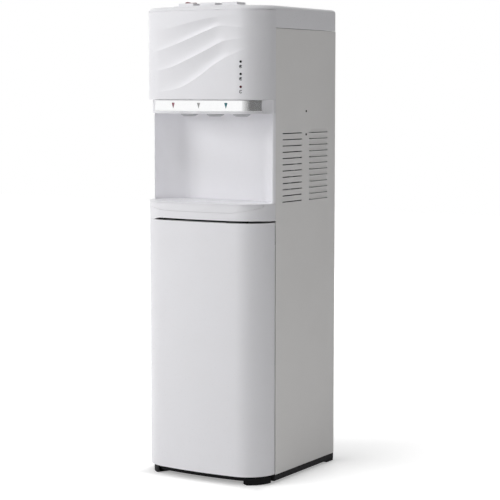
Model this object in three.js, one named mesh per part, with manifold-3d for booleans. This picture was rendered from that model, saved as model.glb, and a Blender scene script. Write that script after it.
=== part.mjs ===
// Free-standing water cooler with a bottle bay behind the door, in millimetres.
// X is to the right, the front faces -Y and Z is up. The origin is on the floor, under the middle.
import * as THREE from 'three';
import { mergeVertices } from 'three/addons/utils/BufferGeometryUtils.js';
import Module from 'manifold-3d';

const wasm = await Module();
wasm.setup();

// Driving dimensions of the casing, from the floor up
const cabinetWidth = 310;
const cabinetDepth = 330;
const bowRadius = 853;
const cornerRadius = 68;
const footHeight = 4;
const baseHeight = 13.2;
const doorClearance = 2;
const doorHeight = 540.8;
const doorGap = 5;
const apronHeight = 35;
const nicheHeight = 188.5;
const noseLipHeight = 5.5;
const bandHeight = 23;
const bandGap = 1;
const wavePanelHeight = 186.7;
const crownRise = 9.5;
const skirtHeight = 47.2;

// Driving dimensions of the walls and the clearances
const sheet = 1;
const wall = 2.5;
const fit = 0.3;
const seam = 0.6;
const running = 0.5;
const overrun = 5;

// Driving dimensions in plan
const cheekThickness = 4.4;
const cheekRadius = 8;
const nicheDepth = 120;
const nicheRadius = 60;
const noseInset = 13;
const bandWrap = 29.8;
const doorThickness = 16;
const backPanelDepth = 25;
const tapPitch = 67;
const tapDepth = 78;
const buttonDepth = 65;
const rodOffset = 12;

// Levels
const baseTop = footHeight + baseHeight;
const sheetBottom = baseTop + fit;
const doorBottom = baseTop + doorClearance;
const doorTop = doorBottom + doorHeight;
const apronBottom = doorTop + doorGap;
const trayTop = apronBottom + apronHeight;
const ceilingBottom = trayTop + nicheHeight;
const bandBottom = ceilingBottom + noseLipHeight;
const bandTop = bandBottom + bandHeight;
const waveBottom = bandTop + bandGap;
const waveTop = waveBottom + wavePanelHeight;
const coverEdge = waveTop + fit;
const coverTop = coverEdge + crownRise;
const sheetTop = coverTop - skirtHeight - fit;
const shelfBottom = apronBottom + fit;
const shelfTop = shelfBottom + 2 * sheet;
const ceilingTop = ceilingBottom + 2 * sheet;
const deckBottom = ceilingTop + fit;
const deckTop = deckBottom + sheet;

// Plan of the front: a shallow bow between two round corners
const halfWidth = cabinetWidth / 2;
const frontY = -cabinetDepth / 2;
const rearY = cabinetDepth / 2;
const bowCentreY = frontY + bowRadius;
const cornerX = halfWidth - cornerRadius;
const cornerY = bowCentreY - Math.sqrt((bowRadius - cornerRadius) ** 2 - cornerX ** 2);
const cornerSweep = Math.atan2(bowCentreY - cornerY, cornerX);
const seamY = cornerY - seam;
const cornerSteps = 8;
const bowSteps = 6;
const nicheSteps = 7;
const backPanelY = rearY - backPanelDepth;
const innerHalf = halfWidth - sheet - fit;
const tapY = frontY + tapDepth;
const buttonY = frontY + buttonDepth;
const buttonPitch = tapPitch - rodOffset;
const nicheHalfWidth = halfWidth - cheekThickness;
const nicheBackY = frontY + nicheDepth;

const group = new THREE.Group();

const finishes = {
  whiteGloss: new THREE.MeshStandardMaterial({ color: 0xe9eaec, roughness: 0.25, metalness: 0 }),
  whitePaint: new THREE.MeshStandardMaterial({ color: 0xdfe0e0, roughness: 0.45, metalness: 0 }),
  blackPlastic: new THREE.MeshStandardMaterial({ color: 0x161618, roughness: 0.55, metalness: 0 }),
  blackPaint: new THREE.MeshStandardMaterial({ color: 0x1a1a1c, roughness: 0.5, metalness: 0.3 }),
  brightBand: new THREE.MeshStandardMaterial({ color: 0xf2f3f5, roughness: 0.12, metalness: 0.9 }),
  redPlastic: new THREE.MeshStandardMaterial({ color: 0x8a1f2b, roughness: 0.35, metalness: 0 }),
  steel: new THREE.MeshStandardMaterial({ color: 0xb9bcc0, roughness: 0.35, metalness: 1 }),
  zincSheet: new THREE.MeshStandardMaterial({ color: 0xa7aaad, roughness: 0.5, metalness: 1 }),
  copper: new THREE.MeshStandardMaterial({ color: 0xb87353, roughness: 0.35, metalness: 1 }),
  foam: new THREE.MeshStandardMaterial({ color: 0xf0efe9, roughness: 0.9, metalness: 0 }),
  clearHose: new THREE.MeshStandardMaterial({ color: 0xdfe3e6, roughness: 0.3, metalness: 0 }),
  greenBoard: new THREE.MeshStandardMaterial({ color: 0x1f5b3a, roughness: 0.6, metalness: 0 }),
};

// A closed geometry as a solid: shared corners merged, collapsed triangles left out
function solid(geometry) {
  geometry.deleteAttribute('normal');
  geometry.deleteAttribute('uv');
  const merged = mergeVertices(geometry);
  const index = merged.index.array;
  const triangles = [];
  for (let i = 0; i < index.length; i += 3) {
    const [a, b, c] = [index[i], index[i + 1], index[i + 2]];
    if (a !== b && b !== c && c !== a) triangles.push(a, b, c);
  }
  const mesh = new wasm.Mesh({
    numProp: 3,
    vertProperties: new Float32Array(merged.attributes.position.array),
    triVerts: new Uint32Array(triangles),
  });
  return new wasm.Manifold(mesh);
}

function geometryOf(body) {
  const mesh = body.getMesh();
  const geometry = new THREE.BufferGeometry();
  geometry.setAttribute('position', new THREE.BufferAttribute(mesh.vertProperties, 3));
  geometry.setIndex(new THREE.BufferAttribute(mesh.triVerts, 1));
  geometry.computeVertexNormals();
  return geometry;
}

const join = (...bodies) => bodies.reduce((sum, body) => sum.add(body));
const cut = (body, ...tools) => tools.reduce((rest, tool) => rest.subtract(tool), body);

function add(name, finish, body, parent = group) {
  const mesh = new THREE.Mesh(geometryOf(body), finishes[finish]);
  mesh.name = name;
  parent.add(mesh);
  return mesh;
}

function block(x, y, z) {
  const size = [x, y, z].map(([low, high]) => high - low);
  const middle = [x, y, z].map(([low, high]) => (low + high) / 2);
  return solid(new THREE.BoxGeometry(...size).translate(...middle));
}

// An outline in plan, extruded from one level to another
function prism(points, bottom, top) {
  const shape = new THREE.Shape(points.map(([x, y]) => new THREE.Vector2(x, y)));
  const options = { depth: top - bottom, bevelEnabled: false };
  return solid(new THREE.ExtrudeGeometry(shape, options).translate(0, 0, bottom));
}

// An outline in depth and height, [y, z], extruded along X
function prismAlongX(points, left, right) {
  const shape = new THREE.Shape(points.map(([y, z]) => new THREE.Vector2(y, z)));
  const geometry = new THREE.ExtrudeGeometry(shape, { depth: right - left, bevelEnabled: false });
  const turn = new THREE.Matrix4().makeBasis(
    new THREE.Vector3(0, 1, 0), new THREE.Vector3(0, 0, 1), new THREE.Vector3(1, 0, 0));
  return solid(geometry.applyMatrix4(turn).translate(left, 0, 0));
}

// An outline in width and height, [x, z], extruded along Y
function prismAlongY(points, front, back) {
  const shape = new THREE.Shape(points.map(([x, z]) => new THREE.Vector2(x, z)));
  const geometry = new THREE.ExtrudeGeometry(shape, { depth: back - front, bevelEnabled: false });
  return solid(geometry.rotateX(Math.PI / 2).translate(0, back, 0));
}

const roundSides = 16;
const pipeSides = 10;
const hoseSides = 8;

function post(x, y, radius, bottom, top, sides = roundSides) {
  const geometry = new THREE.CylinderGeometry(radius, radius, top - bottom, sides);
  return solid(geometry.rotateX(Math.PI / 2).translate(x, y, (bottom + top) / 2));
}

function barAlongY(x, z, radius, front, back, sides = roundSides) {
  const geometry = new THREE.CylinderGeometry(radius, radius, back - front, sides);
  return solid(geometry.translate(x, (front + back) / 2, z));
}

// A closed profile of [radius, height] pairs, turned about an upright axis
function turned(profile, x, y, sides = roundSides) {
  const points = profile.map(([radius, height]) => new THREE.Vector2(radius, height));
  return solid(new THREE.LatheGeometry(points, sides).rotateX(Math.PI / 2).translate(x, y, 0));
}

// A route with a ring of its tube at each of its points
class Route extends THREE.Curve {
  constructor(points) {
    super();
    this.points = points;
  }

  getPointAt(share) {
    return this.points[Math.round(share * (this.points.length - 1))].clone();
  }

  getTangentAt(share) {
    const last = this.points.length - 1;
    const i = Math.round(share * last);
    const here = this.points[i];
    const tangent = new THREE.Vector3();
    if (i < last) tangent.add(this.points[i + 1].clone().sub(here).normalize());
    if (i > 0) tangent.add(here.clone().sub(this.points[i - 1]).normalize());
    return tangent.normalize();
  }
}

// A tube with flat ends along a list of places
function tube(places, radius, sides) {
  const points = places.map((place) => new THREE.Vector3(...place));
  const circle = new THREE.Shape();
  for (let i = 0; i < sides; i++) {
    const angle = 2 * Math.PI * i / sides;
    const corner = [radius * Math.cos(angle), radius * Math.sin(angle)];
    if (i === 0) circle.moveTo(...corner);
    else circle.lineTo(...corner);
  }
  const options = { steps: points.length - 1, extrudePath: new Route(points), bevelEnabled: false };
  return solid(new THREE.ExtrudeGeometry(circle, options));
}

// A smooth route through a few places, with a straight stretch at each end
function smoothRoute(places, steps) {
  const middle = places.slice(1, -1).map((place) => new THREE.Vector3(...place));
  const curve = new THREE.CatmullRomCurve3(middle);
  const along = curve.getSpacedPoints(steps - 2).map((point) => point.toArray());
  return [places[0], ...along, places[places.length - 1]];
}

// Places round the front, each with its inward direction; a place past the corner is on the side
function frontStations(endY, bowCount = bowSteps) {
  const start = Math.asin(Math.max(0, cornerY - endY) / cornerRadius);
  const right = [];
  if (endY > cornerY) right.push({ x: halfWidth, y: endY, inX: -1, inY: 0 });
  for (let i = 0; i <= cornerSteps; i++) {
    const angle = start + (cornerSweep - start) * i / cornerSteps;
    const x = cornerX + cornerRadius * Math.cos(angle);
    const y = cornerY - cornerRadius * Math.sin(angle);
    right.push({ x, y, inX: -Math.cos(angle), inY: Math.sin(angle) });
  }
  const left = right.map(({ x, y, inX, inY }) => ({ x: -x, y, inX: -inX, inY }));
  const spread = Math.PI / 2 - cornerSweep;
  const bow = [];
  for (let i = 1; i < bowCount; i++) {
    const angle = spread * (2 * i / bowCount - 1);
    const x = bowRadius * Math.sin(angle);
    const y = bowCentreY - bowRadius * Math.cos(angle);
    bow.push({ x, y, inX: -Math.sin(angle), inY: Math.cos(angle) });
  }
  return [...left, ...bow, ...right.reverse()];
}

// The front curve, set in from the casing's outline, from its left end to its right end
function frontCurve(inset, endY) {
  return frontStations(endY).map(({ x, y, inX, inY }) => [x + inX * inset, y + inY * inset]);
}

// A wall that follows the front between two insets
function frontWall(outer, inner, endY, bottom, top) {
  return prism([...frontCurve(outer, endY), ...frontCurve(inner, endY).reverse()], bottom, top);
}

// The whole plan: the front curve and straight sides to the back
function planOutline(inset, back) {
  const side = halfWidth - inset;
  return [...frontCurve(inset, cornerY), [side, back], [-side, back]];
}

// The dispensing niche's back, a flat wall between two large round corners
function nicheCurve(offset, endY) {
  const centreX = nicheHalfWidth - nicheRadius;
  const centreY = nicheBackY - nicheRadius;
  const radius = nicheRadius + offset;
  const start = Math.asin((endY - centreY) / radius);
  const right = [];
  for (let i = 0; i <= nicheSteps; i++) {
    const angle = start + (Math.PI / 2 - start) * i / nicheSteps;
    right.push([centreX + radius * Math.cos(angle), centreY + radius * Math.sin(angle)]);
  }
  const left = right.map(([x, y]) => [-x, y]);
  return [...left, ...right.reverse()];
}

// The room between the niche's back and a line well before the front
function nicheRoom(offset, bottom, top) {
  const endY = nicheBackY - nicheRadius;
  const curve = nicheCurve(offset, endY);
  const [endX] = curve[curve.length - 1];
  return prism([[-endX, 2 * frontY], ...curve, [endX, 2 * frontY]], bottom, top);
}

function mirrored(points) {
  return points.map(([x, y]) => [-x, y]);
}

// Base tray: a shallow black pan, flush with the sides and set back under the door
function makeBase() {
  const sideInset = 0.5;
  const frontInset = 12;
  const rim = 6;
  const floor = 3;
  const rearInset = 0.5;
  const rearPad = 30;
  const stepY = seamY - 3 * sheet;
  const side = halfWidth - sideInset;
  const front = frontCurve(frontInset, cornerY);
  const rear = rearY - rearInset;
  const plan = [...front, [side, stepY], [side, rear], [-side, rear], [-side, stepY]];
  const pocketSide = side - rim;
  const pocket = [
    ...frontCurve(frontInset + rim, cornerY).filter(([x]) => Math.abs(x) < cornerX),
    [pocketSide - rim, cornerY], [pocketSide - rim, rear - rim], [rim - pocketSide, rear - rim],
    [rim - pocketSide, cornerY],
  ];
  const padX = side - rearPad;
  const pads = [-1, 1].map((hand) => block(
    [Math.min(hand * side, hand * padX), Math.max(hand * side, hand * padX)],
    [rear - rearPad, rear], [0, footHeight + floor]));
  const pan = cut(prism(plan, footHeight, baseTop), prism(pocket, footHeight - overrun, baseTop - floor));
  add('base_tray', 'blackPlastic', join(pan, ...pads));
  makeFrontFeet(frontInset);
}

// Front corner feet: a sole under the tray's rim, with a wall that hooks up in front of it
function makeFrontFeet(rimInset) {
  const outset = 3;
  const soleWidth = 30;
  const heightShare = 0.85;
  const footLength = 43;
  const outerInset = rimInset - outset;
  const wallTop = footHeight + baseHeight * heightShare;
  const endY = seamY - 2 * outset;
  const sole = frontWall(outerInset, outerInset + soleWidth, endY, 0, footHeight - fit);
  const lip = frontWall(outerInset, rimInset - fit, endY, 0, wallTop);
  const whole = join(sole, lip);
  for (const [name, hand] of [['foot_front_left', -1], ['foot_front_right', 1]]) {
    const ends = [hand * (halfWidth - footLength), hand * (halfWidth + overrun)].sort((a, b) => a - b);
    const keep = block(ends, [frontY - overrun, 0], [-overrun, baseTop + overrun]);
    add(name, 'blackPlastic', whole.intersect(keep));
  }
}

// Side panels: folded sheet with two columns of pressed louvres
const louvreRows = 12;
const louvrePitch = 13.23;
const louvreLength = 82;
const louvreHeight = 8;
const louvreProud = 2.6;
const louvreSlot = 1.2;
const louvreTop = 155.6;
const louvreMiddle = 132.4;
const louvreSpread = 113;
const louvreColumns = [-0.5, 0.5].map((side) => rearY - louvreMiddle + side * louvreSpread);

function makeSidePanels() {
  const rearFlange = 16;
  const footFlange = 10;
  const footFlangeEnd = 12;
  const outer = halfWidth;
  const inner = halfWidth - sheet;
  const plan = [
    [outer, cornerY], [outer, rearY], [outer - rearFlange, rearY],
    [outer - rearFlange, rearY - sheet], [inner, rearY - sheet], [inner, cornerY],
  ];
  const flange = block([outer - footFlange, outer], [cornerY + footFlangeEnd, backPanelY - footFlangeEnd],
    [sheetBottom, sheetBottom + sheet]);
  let panel = join(prism(plan, sheetBottom, sheetTop), flange);
  for (const columnY of louvreColumns) {
    for (let row = 0; row < louvreRows; row++) {
      const top = trayTop + louvreTop - row * louvrePitch;
      panel = pressLouvre(panel, columnY, top);
    }
  }
  add('side_panel_right', 'whitePaint', panel);
  add('side_panel_left', 'whitePaint', panel.mirror([1, 0, 0]));
}

// One louvre: the sheet is slit along its lower edge and pressed outwards to a ramp above it
function pressLouvre(panel, columnY, top) {
  const bottom = top - louvreHeight;
  const face = halfWidth;
  const lip = halfWidth + louvreProud;
  const half = louvreLength / 2;
  const lift = sheet / 2;
  const ramp = prismAlongY([
    [face - lift, bottom], [lip, bottom], [lip, bottom + lift], [face - lift, top],
  ], columnY - half - lift, columnY + half + lift);
  const hollow = prismAlongY([
    [face - sheet - overrun, bottom - louvreSlot], [lip - lift, bottom - louvreSlot], [lip - lift, bottom + lift],
    [face - lift, top - 3 * lift], [face - sheet - overrun, top - 3 * lift],
  ], columnY - half, columnY + half);
  return panel.add(ramp).subtract(hollow);
}

// Back panel: a tray-shaped sheet set in behind the condenser, with windows for the fittings
const fittingsMargin = 60;
const switchRise = 80;
const inletRise = 32;
const drainRise = 14;
const dischargeRise = 82.7;
const drierMargin = 45;
const drierDrop = 10;
const switchPlace = { x: halfWidth - fittingsMargin, z: deckTop + switchRise };
const inletPlace = { x: halfWidth - fittingsMargin, z: deckTop + inletRise };
const hotRadius = 48;
const hotSideRoom = 20.7;
const compressorRoom = 32;
const compressorSideRoom = 33.7;
const compressorRadius = (backPanelY - nicheBackY) / 2 - compressorRoom;
const hotX = hotRadius + hotSideRoom - innerHalf;
const compressorPlace = { x: compressorRadius + compressorSideRoom - innerHalf, y: (backPanelY + nicheBackY) / 2 };
const drainPlace = { x: hotX, z: deckTop + drainRise };
const dischargePlace = { x: compressorPlace.x, z: shelfTop + dischargeRise };
const drierPlace = { x: halfWidth - drierMargin, z: dischargePlace.z - drierDrop };
const switchPanelSize = [70, 44];
const switchHousingSize = [56, 32];
const inletFlangeSize = [50, 28];
const inletBodySize = [29, 22];
const drainRadius = 6;
const lineRadius = 3;

function window(place, size, clearance) {
  const [width, height] = size;
  return block(
    [place.x - width / 2 - clearance, place.x + width / 2 + clearance],
    [backPanelY - sheet - overrun, backPanelY + overrun],
    [place.z - height / 2 - clearance, place.z + height / 2 + clearance]);
}

function makeBackPanel() {
  const top = sheetTop - lipHeight - fit;
  const plate = block([-innerHalf, innerHalf], [backPanelY - sheet, backPanelY], [sheetBottom, top]);
  const flanges = [-1, 1].map((hand) => block(
    [hand * innerHalf, hand * (innerHalf - sheet)].sort((a, b) => a - b),
    [backPanelY - sheet, rearY - sheet - fit], [sheetBottom, top]));
  const holes = [
    window(switchPlace, switchHousingSize, fit),
    window(inletPlace, inletBodySize, fit),
    barAlongY(drainPlace.x, drainPlace.z, drainRadius + fit, backPanelY - overrun, backPanelY + overrun),
    barAlongY(dischargePlace.x, dischargePlace.z, lineRadius + fit, backPanelY - overrun, backPanelY + overrun),
    barAlongY(drierPlace.x, drierPlace.z, lineRadius + fit, backPanelY - overrun, backPanelY + overrun),
  ];
  add('back_panel', 'zincSheet', cut(join(plate, ...flanges), ...holes));
}

// Top cover: a shallow crown that rolls down to the front, with a skirt at the sides and the back
const lipHeight = 9;
const buttonSize = [38, 34];
const wellWall = 1.2;
const wellGap = 0.8;

function closedRing(inset) {
  const rearRadius = 12;
  const steps = 4;
  const ring = [];
  for (const { x, y, inX, inY } of frontStations(cornerY)) {
    ring.push({ x: x + inX * inset, y: y + inY * inset, front: Math.abs(inY) });
  }
  for (const hand of [1, -1]) {
    for (let i = 0; i <= steps; i++) {
      const turn = hand > 0 ? i / steps : 1 - i / steps;
      const angle = turn * Math.PI / 2;
      const centreX = halfWidth - rearRadius;
      const radius = rearRadius - Math.min(inset, rearRadius);
      const reach = Math.max(0, inset - rearRadius);
      ring.push({
        x: hand * (centreX - reach + radius * Math.cos(angle)),
        y: rearY - rearRadius - reach + radius * Math.sin(angle),
        front: 0,
      });
    }
  }
  return ring;
}

// The cover's outer or inner surface, closed down to a flat underside, as one stack of rings
function coverBody(inset, drop, bottom) {
  const rollShares = [0, 0.1, 0.38, 1];
  const frontRoll = 30;
  const sideRoll = 9;
  const sideDrop = 5;
  const rings = [closedRing(inset).map(({ x, y }) => [x, y, bottom])];
  for (const share of rollShares) {
    const fall = Math.sqrt(1 - (1 - share) ** 2) - 1;
    const outline = closedRing(inset);
    const side = closedRing(inset + sideRoll * share);
    const front = closedRing(inset + frontRoll * share);
    rings.push(outline.map((point, i) => {
      const blend = point.front;
      const x = side[i].x + (front[i].x - side[i].x) * blend;
      const y = side[i].y + (front[i].y - side[i].y) * blend;
      const depth = sideDrop + (crownRise - sideDrop) * blend;
      return [x, y, coverTop - drop + depth * fall];
    }));
  }
  return ringStack(rings);
}

// Closed rings with the same number of points, joined in order and capped at both ends
function ringStack(rings) {
  const count = rings[0].length;
  const positions = rings.flat(2);
  const index = [];
  for (let level = 0; level + 1 < rings.length; level++) {
    for (let i = 0; i < count; i++) {
      const a = level * count + i;
      const b = level * count + (i + 1) % count;
      index.push(a, b, b + count, a, b + count, a + count);
    }
  }
  const plan = (ring) => ring.map(([x, y]) => new THREE.Vector2(x, y));
  const last = (rings.length - 1) * count;
  for (const [a, b, c] of THREE.ShapeUtils.triangulateShape(plan(rings[0]), [])) index.push(c, b, a);
  for (const [a, b, c] of THREE.ShapeUtils.triangulateShape(plan(rings[rings.length - 1]), [])) {
    index.push(last + a, last + b, last + c);
  }
  const geometry = new THREE.BufferGeometry();
  geometry.setAttribute('position', new THREE.Float32BufferAttribute(positions, 3));
  geometry.setIndex(index);
  return solid(geometry);
}

function makeTopCover() {
  const shell = cut(coverBody(0, 0, sheetTop + fit), coverBody(wall, wall, sheetTop - overrun));
  const frontCut = block([-cabinetWidth, cabinetWidth], [2 * frontY, cornerY], [0, coverEdge]);
  const lipOuter = coverBody(sheet + fit, wall + fit, sheetTop - lipHeight);
  const lipInner = coverBody(sheet + fit + wall, 2 * wall, sheetTop - lipHeight - overrun);
  const lipFront = block([-cabinetWidth, cabinetWidth], [2 * frontY, cornerY + wall], [0, coverEdge + wall]);
  const lipTop = block([-cabinetWidth, cabinetWidth], [2 * frontY, rearY], [sheetTop + wall, coverTop]);
  const lip = cut(lipOuter, lipInner, lipFront, lipTop);
  const wells = [-buttonPitch, 0, buttonPitch].map((x) => wellBlock(x, wellWall + fit, 0, coverTop + overrun));
  add('top_cover', 'whiteGloss', cut(join(cut(shell, frontCut), lip), ...wells));
}

function wellBlock(x, margin, bottom, top) {
  const [width, depth] = buttonSize.map((size) => size / 2 + wellGap + margin);
  return block([x - width, x + width], [buttonY - depth, buttonY + depth], [bottom, top]);
}

// Wave panel: the head's front, with three valleys scooped between four crest lines
const crestShares = [
  [[-1, 0.06], [-0.6, 0.09], [-0.2, 0.157], [0.08, 0.278], [0.33, 0.411], [0.55, 0.5], [0.84, 0.578], [1, 0.59]],
  [[-1, 0.31], [-0.66, 0.334], [-0.42, 0.37], [-0.12, 0.459], [0.16, 0.553], [0.43, 0.648], [0.7, 0.681], [1, 0.68]],
  [[-1, 0.51], [-0.66, 0.555], [-0.4, 0.61], [-0.12, 0.684], [0.16, 0.767], [0.36, 0.82], [0.62, 0.81], [1, 0.78]],
  [[-1, 0.75], [-0.4, 0.815], [-0.07, 0.87], [0.16, 0.903], [0.35, 0.922], [0.65, 0.94], [1, 0.94]],
];
const waveDepth = 4.5;
const waveFadeShares = [-0.82, -0.2, 0.35, 0.88];
const waveLeanShare = 0.65;
const waveWall = 6.5;

function makeCrest(shares) {
  const places = shares.map(([along]) => along * halfWidth);
  const heights = shares.map(([, up]) => waveBottom + up * wavePanelHeight);
  const curve = new THREE.CubicInterpolant(places, heights, 1, [0]);
  return (x) => curve.evaluate(x)[0];
}

const crests = crestShares.map(makeCrest);

// How far the surface is scooped in from the outline at a place on the front
function waveRelief(x, z) {
  const along = x / halfWidth;
  const [startIn, fullIn, startOut, fullOut] = waveFadeShares;
  const rise = THREE.MathUtils.smoothstep(along, startIn, fullIn);
  const fade = rise * (1 - THREE.MathUtils.smoothstep(along, startOut, fullOut));
  for (let i = 0; i + 1 < crests.length; i++) {
    const low = crests[i](x);
    const high = crests[i + 1](x);
    const up = (z - low) / (high - low);
    if (up > 0 && up < 1) return waveDepth * fade * Math.sin(Math.PI * up ** waveLeanShare);
  }
  return 0;
}

// A shell whose outer face is a grid of places and levels, and whose inner face is plain
function reliefShell(stations, levels, relief, inner) {
  const rows = levels.length;
  const columns = stations.length;
  const positions = [];
  for (const station of stations) {
    for (const z of levels) {
      const inset = relief(station.x, z);
      positions.push(station.x + station.inX * inset, station.y + station.inY * inset, z);
    }
  }
  const innerStart = columns * rows;
  for (const station of stations) {
    for (const z of [levels[0], levels[rows - 1]]) {
      positions.push(station.x + station.inX * inner, station.y + station.inY * inner, z);
    }
  }
  const outerAt = (column, row) => column * rows + row;
  const innerAt = (column, top) => innerStart + column * 2 + top;
  const index = [];
  const quad = (a, b, c, d) => index.push(a, b, c, a, c, d);
  for (let i = 0; i + 1 < columns; i++) {
    for (let j = 0; j + 1 < rows; j++) {
      quad(outerAt(i, j), outerAt(i + 1, j), outerAt(i + 1, j + 1), outerAt(i, j + 1));
    }
    quad(innerAt(i + 1, 0), innerAt(i, 0), innerAt(i, 1), innerAt(i + 1, 1));
    quad(outerAt(i + 1, 0), outerAt(i, 0), innerAt(i, 0), innerAt(i + 1, 0));
    quad(outerAt(i, rows - 1), outerAt(i + 1, rows - 1), innerAt(i + 1, 1), innerAt(i, 1));
  }
  for (let j = 0; j + 1 < rows; j++) {
    index.push(innerAt(0, 0), outerAt(0, j), outerAt(0, j + 1));
    index.push(innerAt(columns - 1, 0), outerAt(columns - 1, j + 1), outerAt(columns - 1, j));
  }
  index.push(innerAt(0, 0), outerAt(0, rows - 1), innerAt(0, 1));
  index.push(innerAt(columns - 1, 0), innerAt(columns - 1, 1), outerAt(columns - 1, rows - 1));
  const geometry = new THREE.BufferGeometry();
  geometry.setAttribute('position', new THREE.Float32BufferAttribute(positions, 3));
  geometry.setIndex(index);
  return solid(geometry);
}

// The small lights, placed on the right corner of the wave panel
const lightOffset = 21.4;
const lightX = cornerX + lightOffset;
const lightRise = [27, 53.5, 79];
const lightRadius = 2;
const lightTurn = Math.asin((lightX - cornerX) / cornerRadius);
const lightY = cornerY - cornerRadius * Math.cos(lightTurn);
const lightBarDepth = 2;
const lightBarHalfWidth = 4;
const lightBarFront = waveWall + 3 * fit + lightBarHalfWidth ** 2 / (cornerRadius - waveWall) / 2;
const boardHalfWidth = 16;
const bossRadius = 3;
const bossSpread = 11;
const boardMargin = 15;

// Work out a body in the frame of the lights: x along the panel, y inwards
function atLights(body) {
  const degrees = THREE.MathUtils.radToDeg(lightTurn);
  return body.rotate([0, 0, degrees]).translate([lightX, lightY, 0]);
}

function makeWavePanel() {
  const levelCount = 13;
  const bowCount = 12;
  const levels = [];
  for (let i = 0; i <= levelCount; i++) levels.push(waveBottom + wavePanelHeight * i / levelCount);
  const stations = frontStations(seamY, bowCount);
  const edgeAt = (inset) => stations.map(({ x, y, inX, inY }) => [x + inX * inset, y + inY * inset]);
  const ledgePlan = [...edgeAt(waveWall / 2), ...edgeAt(noseInset + 2 * wall).reverse()];
  const shell = reliefShell(stations, levels, waveRelief, waveWall);
  const ledge = prism(ledgePlan, waveBottom, waveBottom + wall);
  const boardFront = lightBarFront + lightBarDepth + fit;
  const bosses = [];
  for (const z of [waveBottom + lightRise[0] - boardMargin / 2, waveBottom + lightRise[2] + boardMargin / 2]) {
    for (const x of [-bossSpread, bossSpread]) {
      bosses.push(atLights(barAlongY(x, z, bossRadius, waveWall / 2, boardFront - fit, pipeSides)));
    }
  }
  const holes = lightRise.map((rise) => atLights(
    barAlongY(0, waveBottom + rise, lightRadius + fit, -overrun, waveWall + overrun, pipeSides)));
  add('wave_panel', 'whiteGloss', cut(join(shell, ledge, ...bosses), ...holes));
}

function makeLights() {
  const proud = 0.3;
  const low = waveBottom + lightRise[0] - lightBarHalfWidth;
  const high = waveBottom + lightRise[2] + lightBarHalfWidth;
  const bar = block([-lightBarHalfWidth, lightBarHalfWidth], [lightBarFront, lightBarFront + lightBarDepth],
    [low, high]);
  const pins = lightRise.map((rise) => barAlongY(0, waveBottom + rise, lightRadius, -proud, lightBarFront + fit, pipeSides));
  add('light_pipes', 'clearHose', atLights(join(bar, ...pins)));

  const boardThickness = 1.6;
  const chipHeight = 4;
  const chipShare = 0.5;
  const front = lightBarFront + lightBarDepth + fit;
  const back = front + boardThickness;
  const bottom = waveBottom + lightRise[0] - boardMargin;
  const top = waveBottom + lightRise[2] + boardMargin;
  const board = block([-boardHalfWidth, boardHalfWidth], [front, back], [bottom, top]);
  const chipHalf = boardHalfWidth * chipShare;
  const chip = block([-chipHalf, chipHalf], [back - fit, back + chipHeight],
    [(bottom + top) / 2 - chipHalf, (bottom + top) / 2 + chipHalf]);
  add('control_board', 'greenBoard', atLights(join(board, chip)));
}

// The head's lower front outline, with a concave blend from the tap band's end to the cheek
const bandEndY = cornerY - bandWrap;
const blendSteps = 6;

function noseOutline(inset) {
  const front = frontStations(bandEndY).map(({ x, y, inX, inY }) => [x + inX * inset, y + inY * inset]);
  const [startX, startY] = front[front.length - 1];
  const tipY = seamY - cheekRadius - fit;
  const tipAngle = Math.asin((cornerY - tipY) / cornerRadius);
  const tip = new THREE.Vector2(cornerX + cornerRadius * Math.cos(tipAngle), tipY);
  const start = new THREE.Vector2(startX, startY);
  const bend = new THREE.Vector2(
    (start.x + tip.x) / 2 - cheekRadius / 2, (start.y + tip.y) / 2 + cheekRadius / 2);
  const blend = new THREE.QuadraticBezierCurve(start, bend, tip).getPoints(blendSteps);
  const right = [...blend.map(({ x, y }) => [x, y]).slice(1), [halfWidth, seamY]];
  return [...mirrored(right).reverse(), ...front, ...right];
}

// Niche shell: back, cheeks with rounded front edges, ceiling and the floor under the drip tray
const nicheWall = 1.8;
const nicheFrontY = seamY - cheekRadius + sheet;
const trayMargin = 9;
const trayHalfWidth = halfWidth - trayMargin;
const trayDepth = 15.7;
const nicheFloorTop = trayTop - trayDepth;

function cheek(bottom, top) {
  const steps = 6;
  const tongue = 12;
  const centreX = halfWidth - cheekRadius;
  const outline = [];
  for (let i = 0; i <= steps; i++) {
    const angle = Math.PI / 2 * i / steps;
    outline.push([centreX + cheekRadius * Math.cos(angle), seamY - cheekRadius * Math.sin(angle)]);
  }
  const back = cornerY + tongue;
  outline.push([centreX, back], [innerHalf, back], [innerHalf, seamY]);
  const room = nicheRoom(0, bottom - overrun, top + overrun);
  return [outline, mirrored(outline)].map((points) => prism(points, bottom, top).subtract(room));
}

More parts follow.
